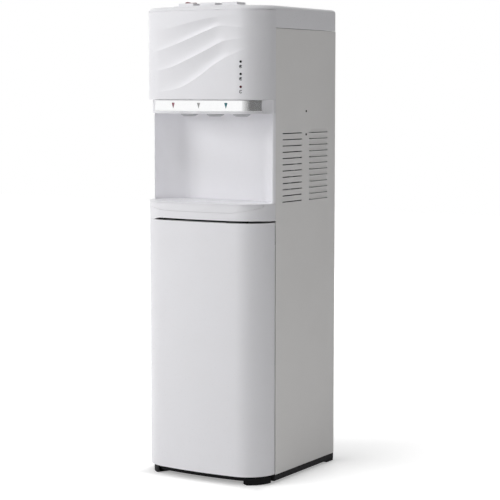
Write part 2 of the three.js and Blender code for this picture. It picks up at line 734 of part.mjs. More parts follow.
function makeNicheShell() {
  const bottom = shelfTop + fit;
  const back = [...nicheCurve(0, nicheFrontY), ...nicheCurve(nicheWall, nicheFrontY).reverse()];
  const rearLine = nicheBackY + nicheWall;
  const behindApron = prism(planOutline(wall + fit, rearLine), 0, coverTop);
  const lowShell = prism(back, bottom, trayTop + wall).intersect(behindApron);
  const shell = prism(back, trayTop + fit, ceilingTop);
  const cheeks = cheek(trayTop + fit, ceilingTop);
  const ceilingPlan = [
    ...noseOutline(noseInset - fit), [innerHalf, seamY], [innerHalf, rearLine],
    [-innerHalf, rearLine], [-innerHalf, seamY],
  ];
  const ceiling = prism(ceilingPlan, ceilingBottom, ceilingTop);
  const holes = [-tapPitch, 0, tapPitch].map((x) => post(
    x, tapY, spoutRadius + fit, ceilingBottom - overrun, ceilingTop + overrun));
  const floorRoom = nicheRoom(nicheWall / 2, nicheFloorTop - wall, nicheFloorTop);
  const floor = floorRoom.intersect(behindApron);
  const ledgeRoom = nicheRoom(nicheWall / 2, nicheFloorTop - wall, trayTop);
  const ledge = cut(
    ledgeRoom.intersect(block([-halfWidth, halfWidth], [nicheFrontY, rearLine], [0, coverTop])),
    block([-trayHalfWidth - running, trayHalfWidth + running], [2 * frontY, rearLine],
      [nicheFloorTop, trayTop + overrun]));
  add('niche_shell', 'whiteGloss', cut(join(shell, lowShell, ...cheeks, ceiling, floor, ledge), ...holes));
}

// Apron: the band under the niche, cut away above a smile-shaped line for the tray's own front
const smileShares = [0, 0.397, 0.61, 0.733, 0.863, 0.945, 1];
const smileRiseShares = [0.457, 0.457, 0.471, 0.543, 0.657, 0.743, 0.843];

function smileOutline(lower, margin, top) {
  const half = trayHalfWidth + margin;
  const right = smileShares.map((share, i) => [
    half * share, apronBottom + apronHeight * smileRiseShares[i] + lower]);
  const left = mirrored(right.slice(1)).reverse();
  return [...left, ...right, [half, top], [-half, top]];
}

function makeApron() {
  const skin = frontWall(0, wall, seamY, apronBottom, trayTop);
  const corners = cut(
    prism(frontCurve(0, nicheFrontY - fit), trayTop - wall, trayTop),
    block([-trayHalfWidth - running, trayHalfWidth + running], [2 * frontY, rearY], [0, coverTop]));
  const opening = prismAlongY(smileOutline(0, running, trayTop + overrun), 2 * frontY, frontY + apronHeight * 2);
  add('apron', 'whiteGloss', cut(join(skin, corners), opening));
}

// Drip tray: a shallow pan behind a curved front that continues the apron, and its slotted cover
const trayPanMargin = 51;
const trayPanHalfWidth = halfWidth - trayPanMargin;
const grilleThickness = 2.4;

function makeDripTray() {
  const bottom = nicheFloorTop + fit;
  const rim = trayTop - grilleThickness - fit;
  const margin = 1.2;
  const rearLine = nicheBackY - margin;
  const reach = block([-trayPanHalfWidth, trayPanHalfWidth], [2 * frontY, rearLine], [0, coverTop]);
  const pan = nicheRoom(-margin, bottom, rim).intersect(reach)
    .intersect(prism(planOutline(wall / 2, rearLine), 0, coverTop));
  const hollowReach = block(
    [wall - trayPanHalfWidth, trayPanHalfWidth - wall], [2 * frontY, rearLine - wall], [0, coverTop]);
  const hollow = nicheRoom(-margin - wall, bottom + wall, trayTop + overrun).intersect(hollowReach)
    .intersect(prism(planOutline(2 * wall, rearLine), 0, coverTop));
  const frontSkin = frontWall(0, wall, seamY, apronBottom, rim)
    .intersect(prismAlongY(smileOutline(running, 0, coverTop), 2 * frontY, frontY + apronHeight * 2));
  add('drip_tray', 'whiteGloss', join(cut(pan, hollow), frontSkin));

  const slotLength = 16;
  const slotWidth = 2;
  const slotGap = 5;
  const slotRows = 3;
  const slotPlace = 48;
  const plate = nicheRoom(-margin, trayTop - grilleThickness, trayTop)
    .intersect(prism(planOutline(0, rearLine), 0, coverTop))
    .intersect(block([-trayHalfWidth, trayHalfWidth], [2 * frontY, rearLine], [0, coverTop]));
  const slots = [];
  for (const x of [-tapPitch, 0, tapPitch]) {
    for (let row = 0; row < slotRows; row++) {
      const y = frontY + slotPlace + row * slotGap;
      slots.push(block([x - slotLength / 2, x + slotLength / 2], [y, y + slotWidth],
        [trayTop - overrun, trayTop + overrun]));
    }
  }
  add('drip_grille', 'whiteGloss', cut(plate, ...slots));
}

// Nose frame: the wall behind the bright band, with the two concave ends
function makeNose() {
  const bandThickness = 2;
  const wallInset = noseInset + bandThickness + fit;
  const bottom = ceilingTop + fit;
  const top = waveBottom - fit;
  const hull = prism([...noseOutline(noseInset - fit)], bottom, top);
  const pocketDepth = wallInset;
  const bandRoom = frontWall(0, pocketDepth, bandEndY + seam, bandBottom - fit, top + overrun);
  const inside = prism(noseOutline(wallInset + wall).map(([x, y]) => [x * insideShare(x), y + wall]), 0, coverTop);
  const frame = cut(hull, bandRoom, inside, block([-halfWidth, halfWidth], [seamY - fit, rearY], [0, coverTop]));
  add('nose_frame', 'whiteGloss', frame);
  const band = frontWall(noseInset, noseInset + bandThickness, bandEndY, bandBottom, bandTop);
  add('tap_band', 'brightBand', band);
}

function insideShare(x) {
  return Math.abs(x) > halfWidth - wall ? (halfWidth - wall) / halfWidth : 1;
}

// Spouts and tap valves, one under the other, with the push rods' bores on top
const spoutRadius = 8;
const spoutCollarRadius = 19;
const valveRadius = 14;
const valveHeight = 44;
const rodRadius = 3;
const rodRun = 18;
const hoseRadius = 4;
const elbowReach = 22;
const elbowRise = 48;
const elbowY = tapY + elbowReach;
const elbowTop = deckTop + elbowRise;

function makeTaps() {
  const mouthRadius = 13;
  const drop = 6.5;
  const nozzle = 4.5;
  const nozzleDepth = 12;
  const socketDepth = 10;
  const names = ['hot', 'room', 'cold'];
  names.forEach((name, i) => {
    const x = (i - 1) * tapPitch;
    const under = ceilingBottom - fit;
    const stemTop = ceilingTop + socketDepth;
    const spout = turned([
      [0, under - drop + nozzleDepth], [nozzle, under - drop + nozzleDepth], [nozzle, under - drop],
      [mouthRadius, under - drop], [spoutCollarRadius, under - wall], [spoutCollarRadius, under],
      [spoutRadius, under], [spoutRadius, stemTop], [0, stemTop],
    ], x, tapY);
    add(`spout_${name}`, 'whiteGloss', spout);

    const bottom = ceilingTop + fit;
    const top = bottom + valveHeight;
    const body = turned([
      [spoutRadius + fit, bottom], [valveRadius, bottom], [valveRadius, top], [rodRadius + running, top],
      [rodRadius + running, top - rodRun - 2 * running - buttonTravel - wall],
      [0, top - rodRun - 2 * running - buttonTravel - wall], [0, stemTop + fit], [spoutRadius + fit, stemTop + fit],
      [spoutRadius + fit, bottom],
    ], x, tapY);
    const armZ = bottom + valveHeight * armShare;
    const arm = barAlongY(x, armZ, hoseRadius, tapY + valveRadius - wall, elbowY, hoseSides);
    const elbow = post(x, elbowY, hoseRadius, armZ - hoseRadius, elbowTop, hoseSides);
    add(`tap_valve_${name}`, 'clearHose', join(body, arm, elbow));
  });
}

const armShare = 0.75;
const buttonTravel = 4;

// Button console: a low raised plate with three wells that hang through the cover
const consoleMargin = 12;
const consoleRise = 2.2;
const wellDepth = 16;
const buttonProud = 5.8;
const buttonThickness = 7.5;
const springRadius = 7;
const springWire = 0.6;

function makeConsole() {
  const plateBottom = coverTop + fit;
  const plateTop = plateBottom + consoleRise;
  const halfLength = buttonPitch + buttonSize[0] / 2 + consoleMargin;
  const halfDepth = buttonSize[1] / 2 + consoleMargin / 3;
  const round = 6;
  const shape = [];
  const arcSteps = 5;
  for (const [signX, signY, from] of [[1, -1, -0.5], [1, 1, 0], [-1, 1, 0.5], [-1, -1, 1]]) {
    for (let i = 0; i <= arcSteps; i++) {
      const angle = Math.PI * (from + 0.5 * i / arcSteps);
      shape.push([
        signX * (halfLength - round) + round * Math.cos(angle),
        buttonY + signY * (halfDepth - round) + round * Math.sin(angle),
      ]);
    }
  }
  const floor = plateBottom - wellDepth;
  let body = prism(shape, plateBottom, plateTop);
  const places = [-buttonPitch, 0, buttonPitch];
  for (const x of places) body = body.add(wellBlock(x, wellWall, floor, plateTop));
  places.forEach((x, i) => {
    const rodX = (i - 1) * tapPitch;
    body = cut(body, wellBlock(x, 0, floor + wall, plateTop + overrun),
      post(rodX, tapY, rodRadius + running, floor - overrun, floor + 2 * wall));
  });
  add('button_console', 'whiteGloss', body);
}

// Push buttons: each cap and its long rod are one moulding
function makeButtons() {
  const capBottom = coverTop + fit + consoleRise + buttonProud - buttonThickness;
  const capTop = capBottom + buttonThickness;
  const rodBottom = ceilingTop + fit + valveHeight - rodRun;
  const [width, depth] = buttonSize.map((size) => size / 2);
  const names = ['hot', 'room', 'cold'];
  names.forEach((name, i) => {
    const x = (i - 1) * buttonPitch;
    const rodX = (i - 1) * tapPitch;
    const cap = block([x - width, x + width], [buttonY - depth, buttonY + depth], [capBottom, capTop]);
    const rod = post(rodX, tapY, rodRadius, rodBottom, capBottom + wall, pipeSides);
    let body = join(cap, rod);
    if (name === 'hot') body = cut(body, lockGroove(x, capTop));
    add(`button_${name}`, 'whiteGloss', body);
    makeButtonSpring(name, x, capBottom);
  });
  makeChildLock(-buttonPitch, capTop);
}

function makeButtonSpring(name, x, capBottom) {
  const turns = 4;
  const stepsPerTurn = 6;
  const wireSides = 4;
  const floor = coverTop + fit - wellDepth + wall;
  const bottom = floor + fit + springWire;
  const top = capBottom - fit - springWire;
  const places = [];
  for (let i = 0; i <= turns * stepsPerTurn; i++) {
    const angle = 2 * Math.PI * i / stepsPerTurn;
    const z = bottom + (top - bottom) * i / (turns * stepsPerTurn);
    places.push([x + springRadius * Math.cos(angle), buttonY + springRadius * Math.sin(angle), z]);
  }
  add(`button_spring_${name}`, 'steel', tube(places, springWire, wireSides));
}

// Child lock: a red slide in a groove across the hot button
const lockDepth = 7;
const lockLength = 26;
const lockTravel = 5;
const grooveDepth = 3;
const lockLeftShare = 0.28;

function lockSpan(x) {
  const left = x - buttonSize[0] / 2 + buttonSize[0] * lockLeftShare - wall;
  return [left, left + lockLength];
}

function lockGroove(x, capTop) {
  const [left, right] = lockSpan(x);
  return block([left - lockTravel - running, right + running],
    [buttonY - lockDepth / 2 - running, buttonY + lockDepth / 2 + running],
    [capTop - grooveDepth, capTop + overrun]);
}

function makeChildLock(x, capTop) {
  const [left, right] = lockSpan(x);
  const knobLength = 10;
  const knobHeight = 4;
  const barTop = capTop - fit;
  const bar = block([left, right], [buttonY - lockDepth / 2, buttonY + lockDepth / 2],
    [capTop - grooveDepth + fit, barTop]);
  const arc = [];
  const steps = 8;
  for (let i = 0; i <= steps; i++) {
    const angle = Math.PI * i / steps;
    arc.push([left + knobLength / 2 + knobLength / 2 * Math.cos(angle), barTop - fit + knobHeight * Math.sin(angle)]);
  }
  const knob = prismAlongY(arc, buttonY - lockDepth / 2, buttonY + lockDepth / 2);
  add('child_lock', 'redPlastic', join(bar, knob));
}

// Bottle bay liner: a white box that is open at the front, with a bracket for the probe
const linerWall = 2;
const linerSetback = 6;
const linerFrontY = cornerY + linerSetback;
const linerFloor = sheetBottom + sheet + fit;
const probeMargin = 31.7;
const probeRearRoom = 36;
const probeFloorRoom = 51.5;
const bracketDrop = 60;
const probePlace = { x: innerHalf - probeMargin, y: backPanelY - probeRearRoom };
const bracketZ = doorTop - bracketDrop;
const probeTubeRadius = 7;
const probeCapRadius = 20;

function makeBayLiner() {
  const back = backPanelY - sheet - fit;
  const outer = block([-innerHalf, innerHalf], [linerFrontY, back], [linerFloor, apronBottom]);
  const inner = block([linerWall - innerHalf, innerHalf - linerWall], [linerFrontY - overrun, back - linerWall],
    [linerFloor + wall, apronBottom - wall]);
  const bracket = block(
    [probePlace.x - probeCapRadius - wall, innerHalf - linerWall / 2],
    [probePlace.y - probeCapRadius - wall, back - linerWall / 2],
    [bracketZ, bracketZ + wall]);
  const holes = [
    post(probePlace.x, probePlace.y, probeTubeRadius + running, bracketZ - overrun, bracketZ + overrun),
    post(probePlace.x, probePlace.y, hoseRadius + running, apronBottom - overrun, apronBottom + overrun),
  ];
  add('bay_liner', 'whiteGloss', cut(join(cut(outer, inner), bracket), ...holes));
}

// Bottle probe: the suction tube that goes into the bottle, parked in its bracket
function makeProbe() {
  const capHeight = 14;
  const stemHeight = 20;
  const capBottom = bracketZ + wall + fit;
  const capTop = capBottom + capHeight;
  const tip = linerFloor + wall + probeFloorRoom;
  const { x, y } = probePlace;
  const probe = turned([
    [0, tip], [probeTubeRadius, tip], [probeTubeRadius, capBottom],
    [probeCapRadius, capBottom], [probeCapRadius, capTop], [hoseRadius, capTop],
    [hoseRadius, capTop + stemHeight], [0, capTop + stemHeight],
  ], x, y, pipeSides);
  add('bottle_probe', 'whiteGloss', probe);
  return capTop + stemHeight;
}

// Machine shelf: a black plate across the cabinet that carries the machine and the upper hinge
const hingeInset = 8.5;
const hingeTurn = THREE.MathUtils.degToRad(18.4);
const hingeX = -(cornerX + (cornerRadius - hingeInset) * Math.cos(hingeTurn));
const hingeY = cornerY - (cornerRadius - hingeInset) * Math.sin(hingeTurn);
const pinRadius = 3;
const pinReach = 14;

function makeShelf() {
  const flangeInset = 26;
  const flangeHeight = 13;
  const flangeMargin = 47;
  const front = prism(frontCurve(wall + fit, cornerY), shelfBottom, shelfTop);
  const rest = block([-innerHalf, innerHalf], [cornerY, backPanelY - sheet - fit], [shelfBottom, shelfTop]);
  const flange = frontWall(flangeInset, flangeInset + 2 * sheet, cornerY, shelfBottom - flangeHeight, shelfTop)
    .intersect(block([flangeMargin - halfWidth, halfWidth - flangeMargin], [2 * frontY, 0], [0, coverTop]));
  const holes = [
    post(hingeX, hingeY, pinRadius + fit, shelfBottom - overrun, shelfTop + overrun),
    post(probePlace.x, probePlace.y, hoseRadius + running, shelfBottom - overrun, shelfTop + overrun),
  ];
  add('machine_shelf', 'blackPaint', cut(join(front, rest, flange), ...holes));

  const headRadius = 5;
  const pin = turned([
    [0, doorTop - pinReach], [pinRadius, doorTop - pinReach], [pinRadius, shelfTop + fit],
    [headRadius, shelfTop + fit], [headRadius, shelfTop + fit + 2 * sheet], [0, shelfTop + fit + 2 * sheet],
  ], hingeX, hingeY, pipeSides);
  add('upper_hinge_pin', 'steel', pin);
}

// Lower hinge: a steel plate on the base with an upright pin
function makeLowerHinge() {
  const plateHalf = 10;
  const plateBack = linerFrontY - 1;
  const plateTop = baseTop + fit + sheet;
  const plate = block([hingeX - plateHalf, hingeX + plateHalf], [hingeY - plateHalf / 2, plateBack],
    [baseTop + fit, plateTop]).intersect(prism(planOutline(wall, rearY), 0, coverTop));
  const pin = post(hingeX, hingeY, pinRadius, baseTop + fit, doorBottom + pinReach, pipeSides);
  add('lower_hinge', 'steel', join(plate, pin));
}

// Door: a curved skin between two dark end caps, with an inner liner
const doorEndGap = 2;
const doorEndY = cornerY - doorEndGap;
const skin = 2;
const linerPanel = 2;
const capHeight = 18;

function makeDoor() {
  const panInset = doorThickness - linerPanel - fit;
  const outer = frontWall(0, panInset, doorEndY, doorBottom, doorTop);
  const hollow = frontWall(skin, panInset + overrun, doorEndY - skin, doorBottom - overrun, doorTop + overrun);
  add('door_skin', 'whiteGloss', cut(outer, hollow));

  const capEndY = doorEndY - skin - fit;
  const capOuter = skin + fit;
  const grooveMargin = 85;
  const grooveHalf = halfWidth - grooveMargin;
  const grooveWall = 2;
  const bore = (low, high) => post(hingeX, hingeY, pinRadius + fit, low, high);
  const groove = frontWall(capOuter + grooveWall, panInset + overrun, capEndY, doorTop - pinReach, doorTop + overrun)
    .intersect(block([-grooveHalf, grooveHalf], [2 * frontY, 0], [0, coverTop]));
  const topCap = frontWall(capOuter, panInset, capEndY, doorTop - capHeight, doorTop);
  add('door_top_cap', 'blackPlastic', cut(topCap, groove, bore(doorTop - pinReach - wall, doorTop + overrun)));
  const bottomCap = frontWall(capOuter, panInset, capEndY, doorBottom, doorBottom + capHeight);
  const lowBore = bore(doorBottom - overrun, doorBottom + pinReach + wall);
  add('door_bottom_cap', 'blackPlastic', cut(bottomCap, lowBore));
  const liner = frontWall(doorThickness - linerPanel, doorThickness, doorEndY, doorBottom, doorTop);
  add('door_liner', 'whiteGloss', liner);

  const magnetHeight = 40;
  const magnetWidth = 9;
  const magnetTop = doorTop - 3 * wall;
  const side = innerHalf - linerWall - fit;
  const doorBackY = doorEndY + doorThickness * (cornerY - doorEndY) / cornerRadius;
  add('door_magnet', 'blackPlastic', block([side - magnetWidth, side], [doorBackY + fit, linerFrontY + 2 * wall],
    [magnetTop - magnetHeight, magnetTop]));
}

// Tank deck and the two tanks in the head
const deckOverlap = 17;
const deckFrontY = nicheBackY - deckOverlap;
const tankDrop = 56.5;
const tankTop = coverTop - tankDrop;
const portHeight = 8;
const coilRadius = 2.5;
const coilStepsPerTurn = 14;
const foamWall = 8;
const heaterWall = 5;
const tankGap = 11.4;
const tankSideRoom = 9.4;
const tankFrontRoom = 10.7;
const tankRearRoom = 24.7;
const coldFoot = 14;
const tankSides = 20;
const riserMargin = 17.7;
const riserRearRoom = 28;

// The cold tank fills what the hot tank, the hoses and the rear fittings leave of the head
const foamLeft = hotX + hotRadius + fit + heaterWall + tankGap;
const foamWidthRoom = innerHalf - tankSideRoom - foamLeft;
const foamDepthRoom = backPanelY - tankRearRoom - (elbowY + hoseRadius + tankFrontRoom);
const foamOuter = Math.min(foamWidthRoom, foamDepthRoom) / 2;
const foamInner = foamOuter - foamWall;
const coilReach = foamInner * Math.cos(Math.PI / tankSides) - coilRadius - fit;
const coldRadius = coilReach * Math.cos(Math.PI / coilStepsPerTurn) - coilRadius - fit;
const coldPlace = { x: foamLeft + foamOuter, y: backPanelY - tankRearRoom - foamOuter };
const hotPlace = { x: hotX, y: coldPlace.y };
const riserPlace = { x: innerHalf - riserMargin, y: backPanelY - riserRearRoom };
const suctionPlace = { x: foamLeft - tankGap / 2, y: compressorPlace.y };
const coldPortShares = [[0.06, -0.7], [-0.48, -0.48], [-0.64, 0.12]];
const hotPortShares = [[0.19, -0.67], [0.31, 0.58]];
const coldPortPlaces = coldPortShares.map(([x, y]) => [coldPlace.x + coldRadius * x, coldPlace.y + coldRadius * y]);
const hotPortPlaces = hotPortShares.map(([x, y]) => [hotPlace.x + hotRadius * x, hotPlace.y + hotRadius * y]);
const drainReach = 12;
const drainEndY = backPanelY + drainReach;

function makeTanks() {
  const deckBack = backPanelY - sheet - fit;
  const deck = block([-innerHalf, innerHalf], [deckFrontY, deckBack], [deckBottom, deckTop]);
  add('tank_deck', 'zincSheet', cut(deck,
    post(riserPlace.x, riserPlace.y, hoseRadius + running, deckBottom - overrun, deckTop + overrun),
    post(suctionPlace.x, suctionPlace.y, coilRadius + running, deckBottom - overrun, deckTop + overrun)));

  const coldBottom = deckTop + fit + coldFoot;
  const tankBody = (place, radius, bottom, top, neck) => turned([
    [0, bottom], [radius, bottom], [radius, top], [neck, top], [neck, top + portHeight],
    [neck - sheet, top + portHeight], [neck - sheet, top - sheet], [radius - sheet, top - sheet],
    [radius - sheet, bottom + sheet], [0, bottom + sheet],
  ], place.x, place.y, tankSides);
  const neck = hoseRadius + sheet;
  const coldPorts = coldPortPlaces.map(([x, y]) => post(x, y, hoseRadius, tankTop - sheet, tankTop + portHeight, hoseSides));
  add('cold_tank', 'steel', join(tankBody(coldPlace, coldRadius, coldBottom, tankTop, neck), ...coldPorts));

  const foamBottom = deckTop + fit;
  const foamTop = tankTop - portHeight;
  const foam = turned([
    [0, foamBottom], [foamOuter, foamBottom], [foamOuter, foamTop], [foamInner, foamTop],
    [foamInner, coldBottom - fit], [0, coldBottom - fit],
  ], coldPlace.x, coldPlace.y, tankSides);
  const tailZ = coldBottom + 3 * portHeight;
  const exit = block([coldPlace.x - foamOuter - overrun, coldPlace.x - foamInner + overrun],
    [coldPlace.y - 2 * coilRadius, coldPlace.y + 4 * coilRadius], [tailZ - 2 * coilRadius, foamTop + overrun]);
  add('cold_tank_foam', 'foam', cut(foam, exit));
  makeEvaporator(coilReach, foamOuter, tailZ);

  const hotBottom = deckTop + fit;
  const drain = barAlongY(hotPlace.x, drainPlace.z, drainRadius, hotPlace.y + hotRadius - wall, drainEndY);
  const hotPorts = hotPortPlaces.map(([x, y]) => post(x, y, hoseRadius, tankTop - sheet, tankTop + portHeight, hoseSides));
  add('hot_tank', 'steel', join(tankBody(hotPlace, hotRadius, hotBottom, tankTop, neck), drain, ...hotPorts));
  const heaterInner = hotRadius + fit;
  const heaterOuter = heaterInner + heaterWall;
  const heaterBottom = drainPlace.z + 2 * drainRadius;
  const heaterTop = heaterBottom + hotRadius;
  const bandRing = turned([
    [heaterInner, heaterBottom], [heaterOuter, heaterBottom], [heaterOuter, heaterTop],
    [heaterInner, heaterTop], [heaterInner, heaterBottom],
  ], hotPlace.x, hotPlace.y, tankSides);
  const middle = (heaterBottom + heaterTop) / 2;
  const box = block([hotPlace.x - 4 * wall, hotPlace.x + 4 * wall],
    [hotPlace.y - heaterOuter - 3 * wall, hotPlace.y - heaterOuter + wall],
    [middle - 4 * wall, middle + 4 * wall]);
  add('hot_tank_heater', 'steel', join(bandRing, box));
}

// Evaporator: a tube wound round the cold tank, with its tail down to the compressor
function makeEvaporator(reach, foamOuter, tailZ) {
  const turns = 4;
  const coilSides = 5;
  const top = tankTop - 4 * portHeight;
  const places = [];
  for (let i = 0; i <= turns * coilStepsPerTurn; i++) {
    const angle = Math.PI + 2 * Math.PI * i / coilStepsPerTurn;
    const z = top + (tailZ - top) * i / (turns * coilStepsPerTurn);
    places.push([coldPlace.x + reach * Math.cos(angle), coldPlace.y + reach * Math.sin(angle), z]);
  }
  const [startX, startY] = [coldPlace.x - reach, coldPlace.y];
  const outX = coldPlace.x - foamOuter - 2 * coilRadius;
  const tail = [
    [startX + coilRadius, startY, tailZ], [startX - 2 * coilRadius, startY, tailZ],
    [outX, startY, tailZ], [(outX + suctionPlace.x) / 2, (startY + suctionPlace.y) / 2, tailZ - coilRadius],
    [suctionPlace.x, suctionPlace.y, tailZ - 4 * coilRadius], [suctionPlace.x, suctionPlace.y, deckTop],
    [suctionPlace.x, suctionPlace.y, compressorTop + stubRise + fit],
  ];
  add('evaporator_coil', 'copper', join(tube(places, coilRadius, coilSides), tube(tail, coilRadius, coilSides)));
}

// Compressor: a drawn steel can on a foot plate with four rubber feet
const compressorHeight = 167.7;
const compressorTop = shelfTop + compressorHeight;
const stubRise = 12;

function makeCompressor() {
  const shellWall = 5;
  const footRadius = 9;
  const footSetback = [2, 14];
  const footRise = 14;
  const canShare = 0.8;
  const canProfileShares = [[0.55, 0], [0.9, 0.12], [1, 0.3], [1, -0.35], [0.88, -0.14], [0.55, 0]];
  const plateTop = shelfTop + footRise;
  const { x, y } = compressorPlace;
  const profile = canProfileShares.map(([out, up], i) => [
    compressorRadius * out, (i < canProfileShares.length / 2 ? plateTop : compressorTop) + compressorRadius * up]);
  const inner = compressorRadius * canShare;
  const can = cut(
    turned([[0, plateTop], ...profile, [0, compressorTop]], x, y),
    post(x, y, inner, plateTop + 2 * shellWall, compressorTop - 2 * shellWall, pipeSides),
    post(x, y, rodRadius, plateTop - overrun, plateTop + 3 * shellWall, hoseSides));
  const [spreadX, spreadY] = footSetback.map((setback) => compressorRadius - setback);
  const plate = cut(block([x - spreadX - footRadius, x + spreadX + footRadius],
    [y - spreadY - footRadius, y + spreadY + footRadius], [plateTop - wall, plateTop + wall / 2]),
    post(x, y, rodRadius, plateTop - overrun, plateTop + 3 * shellWall, hoseSides));
  const feet = [];
  for (const signX of [-1, 1]) {
    for (const signY of [-1, 1]) {
      feet.push(post(x + signX * spreadX, y + signY * spreadY, footRadius, shelfTop + fit, plateTop - wall / 2,
        hoseSides));
    }
  }
  const suction = post(suctionPlace.x, suctionPlace.y, coilRadius, compressorTop - 4 * shellWall,
    compressorTop + stubRise, hoseSides);
  const discharge = barAlongY(dischargePlace.x, dischargePlace.z, lineRadius, y + compressorRadius - shellWall,
    lineMeetY, hoseSides);
  add('compressor', 'blackPaint', join(can, plate, ...feet, suction, discharge));
}

const lineMeetDepth = 10;
const lineMeetY = backPanelY - lineMeetDepth;

// Condenser: a serpentine tube on two straps behind the back panel, with its filter drier
function makeCondenser() {
  const runs = 8;
  const runPitch = 54;
  const runMargin = 43;
  const firstRise = 92.5;
  const bendSteps = 4;
  const halfRun = halfWidth - runMargin;
  const firstZ = sheetBottom + firstRise;
  const drierRadius = 8;
  const drierHeight = 70;
  const strapHalf = 5;
  const lineSides = 5;
  const y = backPanelY + backPanelDepth / 2;
  const bend = runPitch / 2;
  const straight = halfRun - bend;
  const places = [];
  for (let run = 0; run < runs; run++) {
    const z = firstZ + run * runPitch;
    const side = run % 2 === 0 ? 1 : -1;
    places.push([-side * straight, y, z], [side * straight, y, z]);
    for (let i = 1; i < bendSteps && run < runs - 1; i++) {
      const angle = Math.PI * i / bendSteps;
      places.push([side * (straight + bend * Math.sin(angle)), y, z + bend - bend * Math.cos(angle)]);
    }
  }
  const lastZ = firstZ + (runs - 1) * runPitch;
  const { x: inletX, z: inletZ } = dischargePlace;
  const inlet = [
    [-straight + wall, y, lastZ], [-straight - wall, y, lastZ + wall], [-straight - wall, y, inletZ - 4 * wall],
    [-straight, y, inletZ - wall], [-straight + 2 * wall, y, inletZ], [inletX - 3 * wall, y, inletZ],
    [inletX - wall, y - wall / 2, inletZ], [inletX, y - 2 * wall, inletZ], [inletX, lineMeetY + fit, inletZ],
  ];
  const parts = [tube(places, lineRadius, lineSides), tube(inlet, lineRadius, lineSides)];
  for (const side of [-1, 1]) {
    const x = side * halfRun / 2;
    parts.push(block([x - strapHalf, x + strapHalf], [y - lineRadius - sheet, y - lineRadius + sheet],
      [firstZ - bend, lastZ + bend]));
    for (const z of [firstZ - bend / 2, lastZ + bend / 2]) {
      parts.push(block([x - strapHalf, x + strapHalf], [backPanelY + fit, y - lineRadius],
        [z - strapHalf, z + strapHalf]));
    }
  }
  const { x: drierX, z: drierOutlet } = drierPlace;
  const drierTop = drierOutlet + 3 * lineRadius;
  parts.push(post(drierX, y, drierRadius, drierTop - drierHeight, drierTop, pipeSides));
  const liquid = [
    [-straight + wall, y, firstZ], [-straight - wall, y, firstZ - 2 * wall], [-straight - wall, y, firstZ - bend],
    [-straight + 2 * wall, y, firstZ - 2 * bend], [drierX - 4 * wall, y, firstZ - 2 * bend],
    [drierX, y, firstZ - bend], [drierX, y, drierTop - drierHeight + wall],
  ];
  parts.push(tube(liquid, lineRadius, lineSides));
  parts.push(barAlongY(drierX, drierOutlet, lineRadius, lineMeetY, y, hoseSides));
  add('condenser', 'blackPaint', join(...parts));
}

// Water pump: a small block with its motor, on the shelf
const pumpHalf = 18;
const pumpPortSpread = [14, 26];
const pumpGap = 34;
const pumpFrontRoom = 8;
const pumpHeight = 42.7;
const pumpIn = { x: probePlace.x, y: probePlace.y - pumpGap };
const pumpOut = { x: pumpIn.x - pumpPortSpread[0], y: pumpIn.y - pumpPortSpread[1] };
const pumpTop = shelfTop + pumpHeight;

function makePump() {
  const barb = 10;
  const bottom = shelfTop + fit;
  const middle = (pumpIn.x + pumpOut.x) / 2;
  const motorFront = nicheBackY + nicheWall + pumpFrontRoom;
  const housing = block([middle - pumpHalf - wall, middle + pumpHalf + wall],
    [pumpOut.y - pumpHalf, pumpIn.y + pumpHalf], [bottom, pumpTop]);
  const motor = barAlongY(middle, (bottom + pumpTop) / 2, pumpHalf, motorFront, pumpOut.y, pipeSides);
  const barbs = [pumpIn, pumpOut].map(({ x, y }) => post(x, y, hoseRadius, pumpTop - wall, pumpTop + barb, hoseSides));
  add('water_pump', 'blackPlastic', join(housing, motor, ...barbs));
  return pumpTop + barb;
}

// Hoses: each runs from one barb to the next with flat ends face to face
const hoseStart = 20;
const hoseLoop = 50;
const hoseTurn = 18;
const hoseEnd = 8;

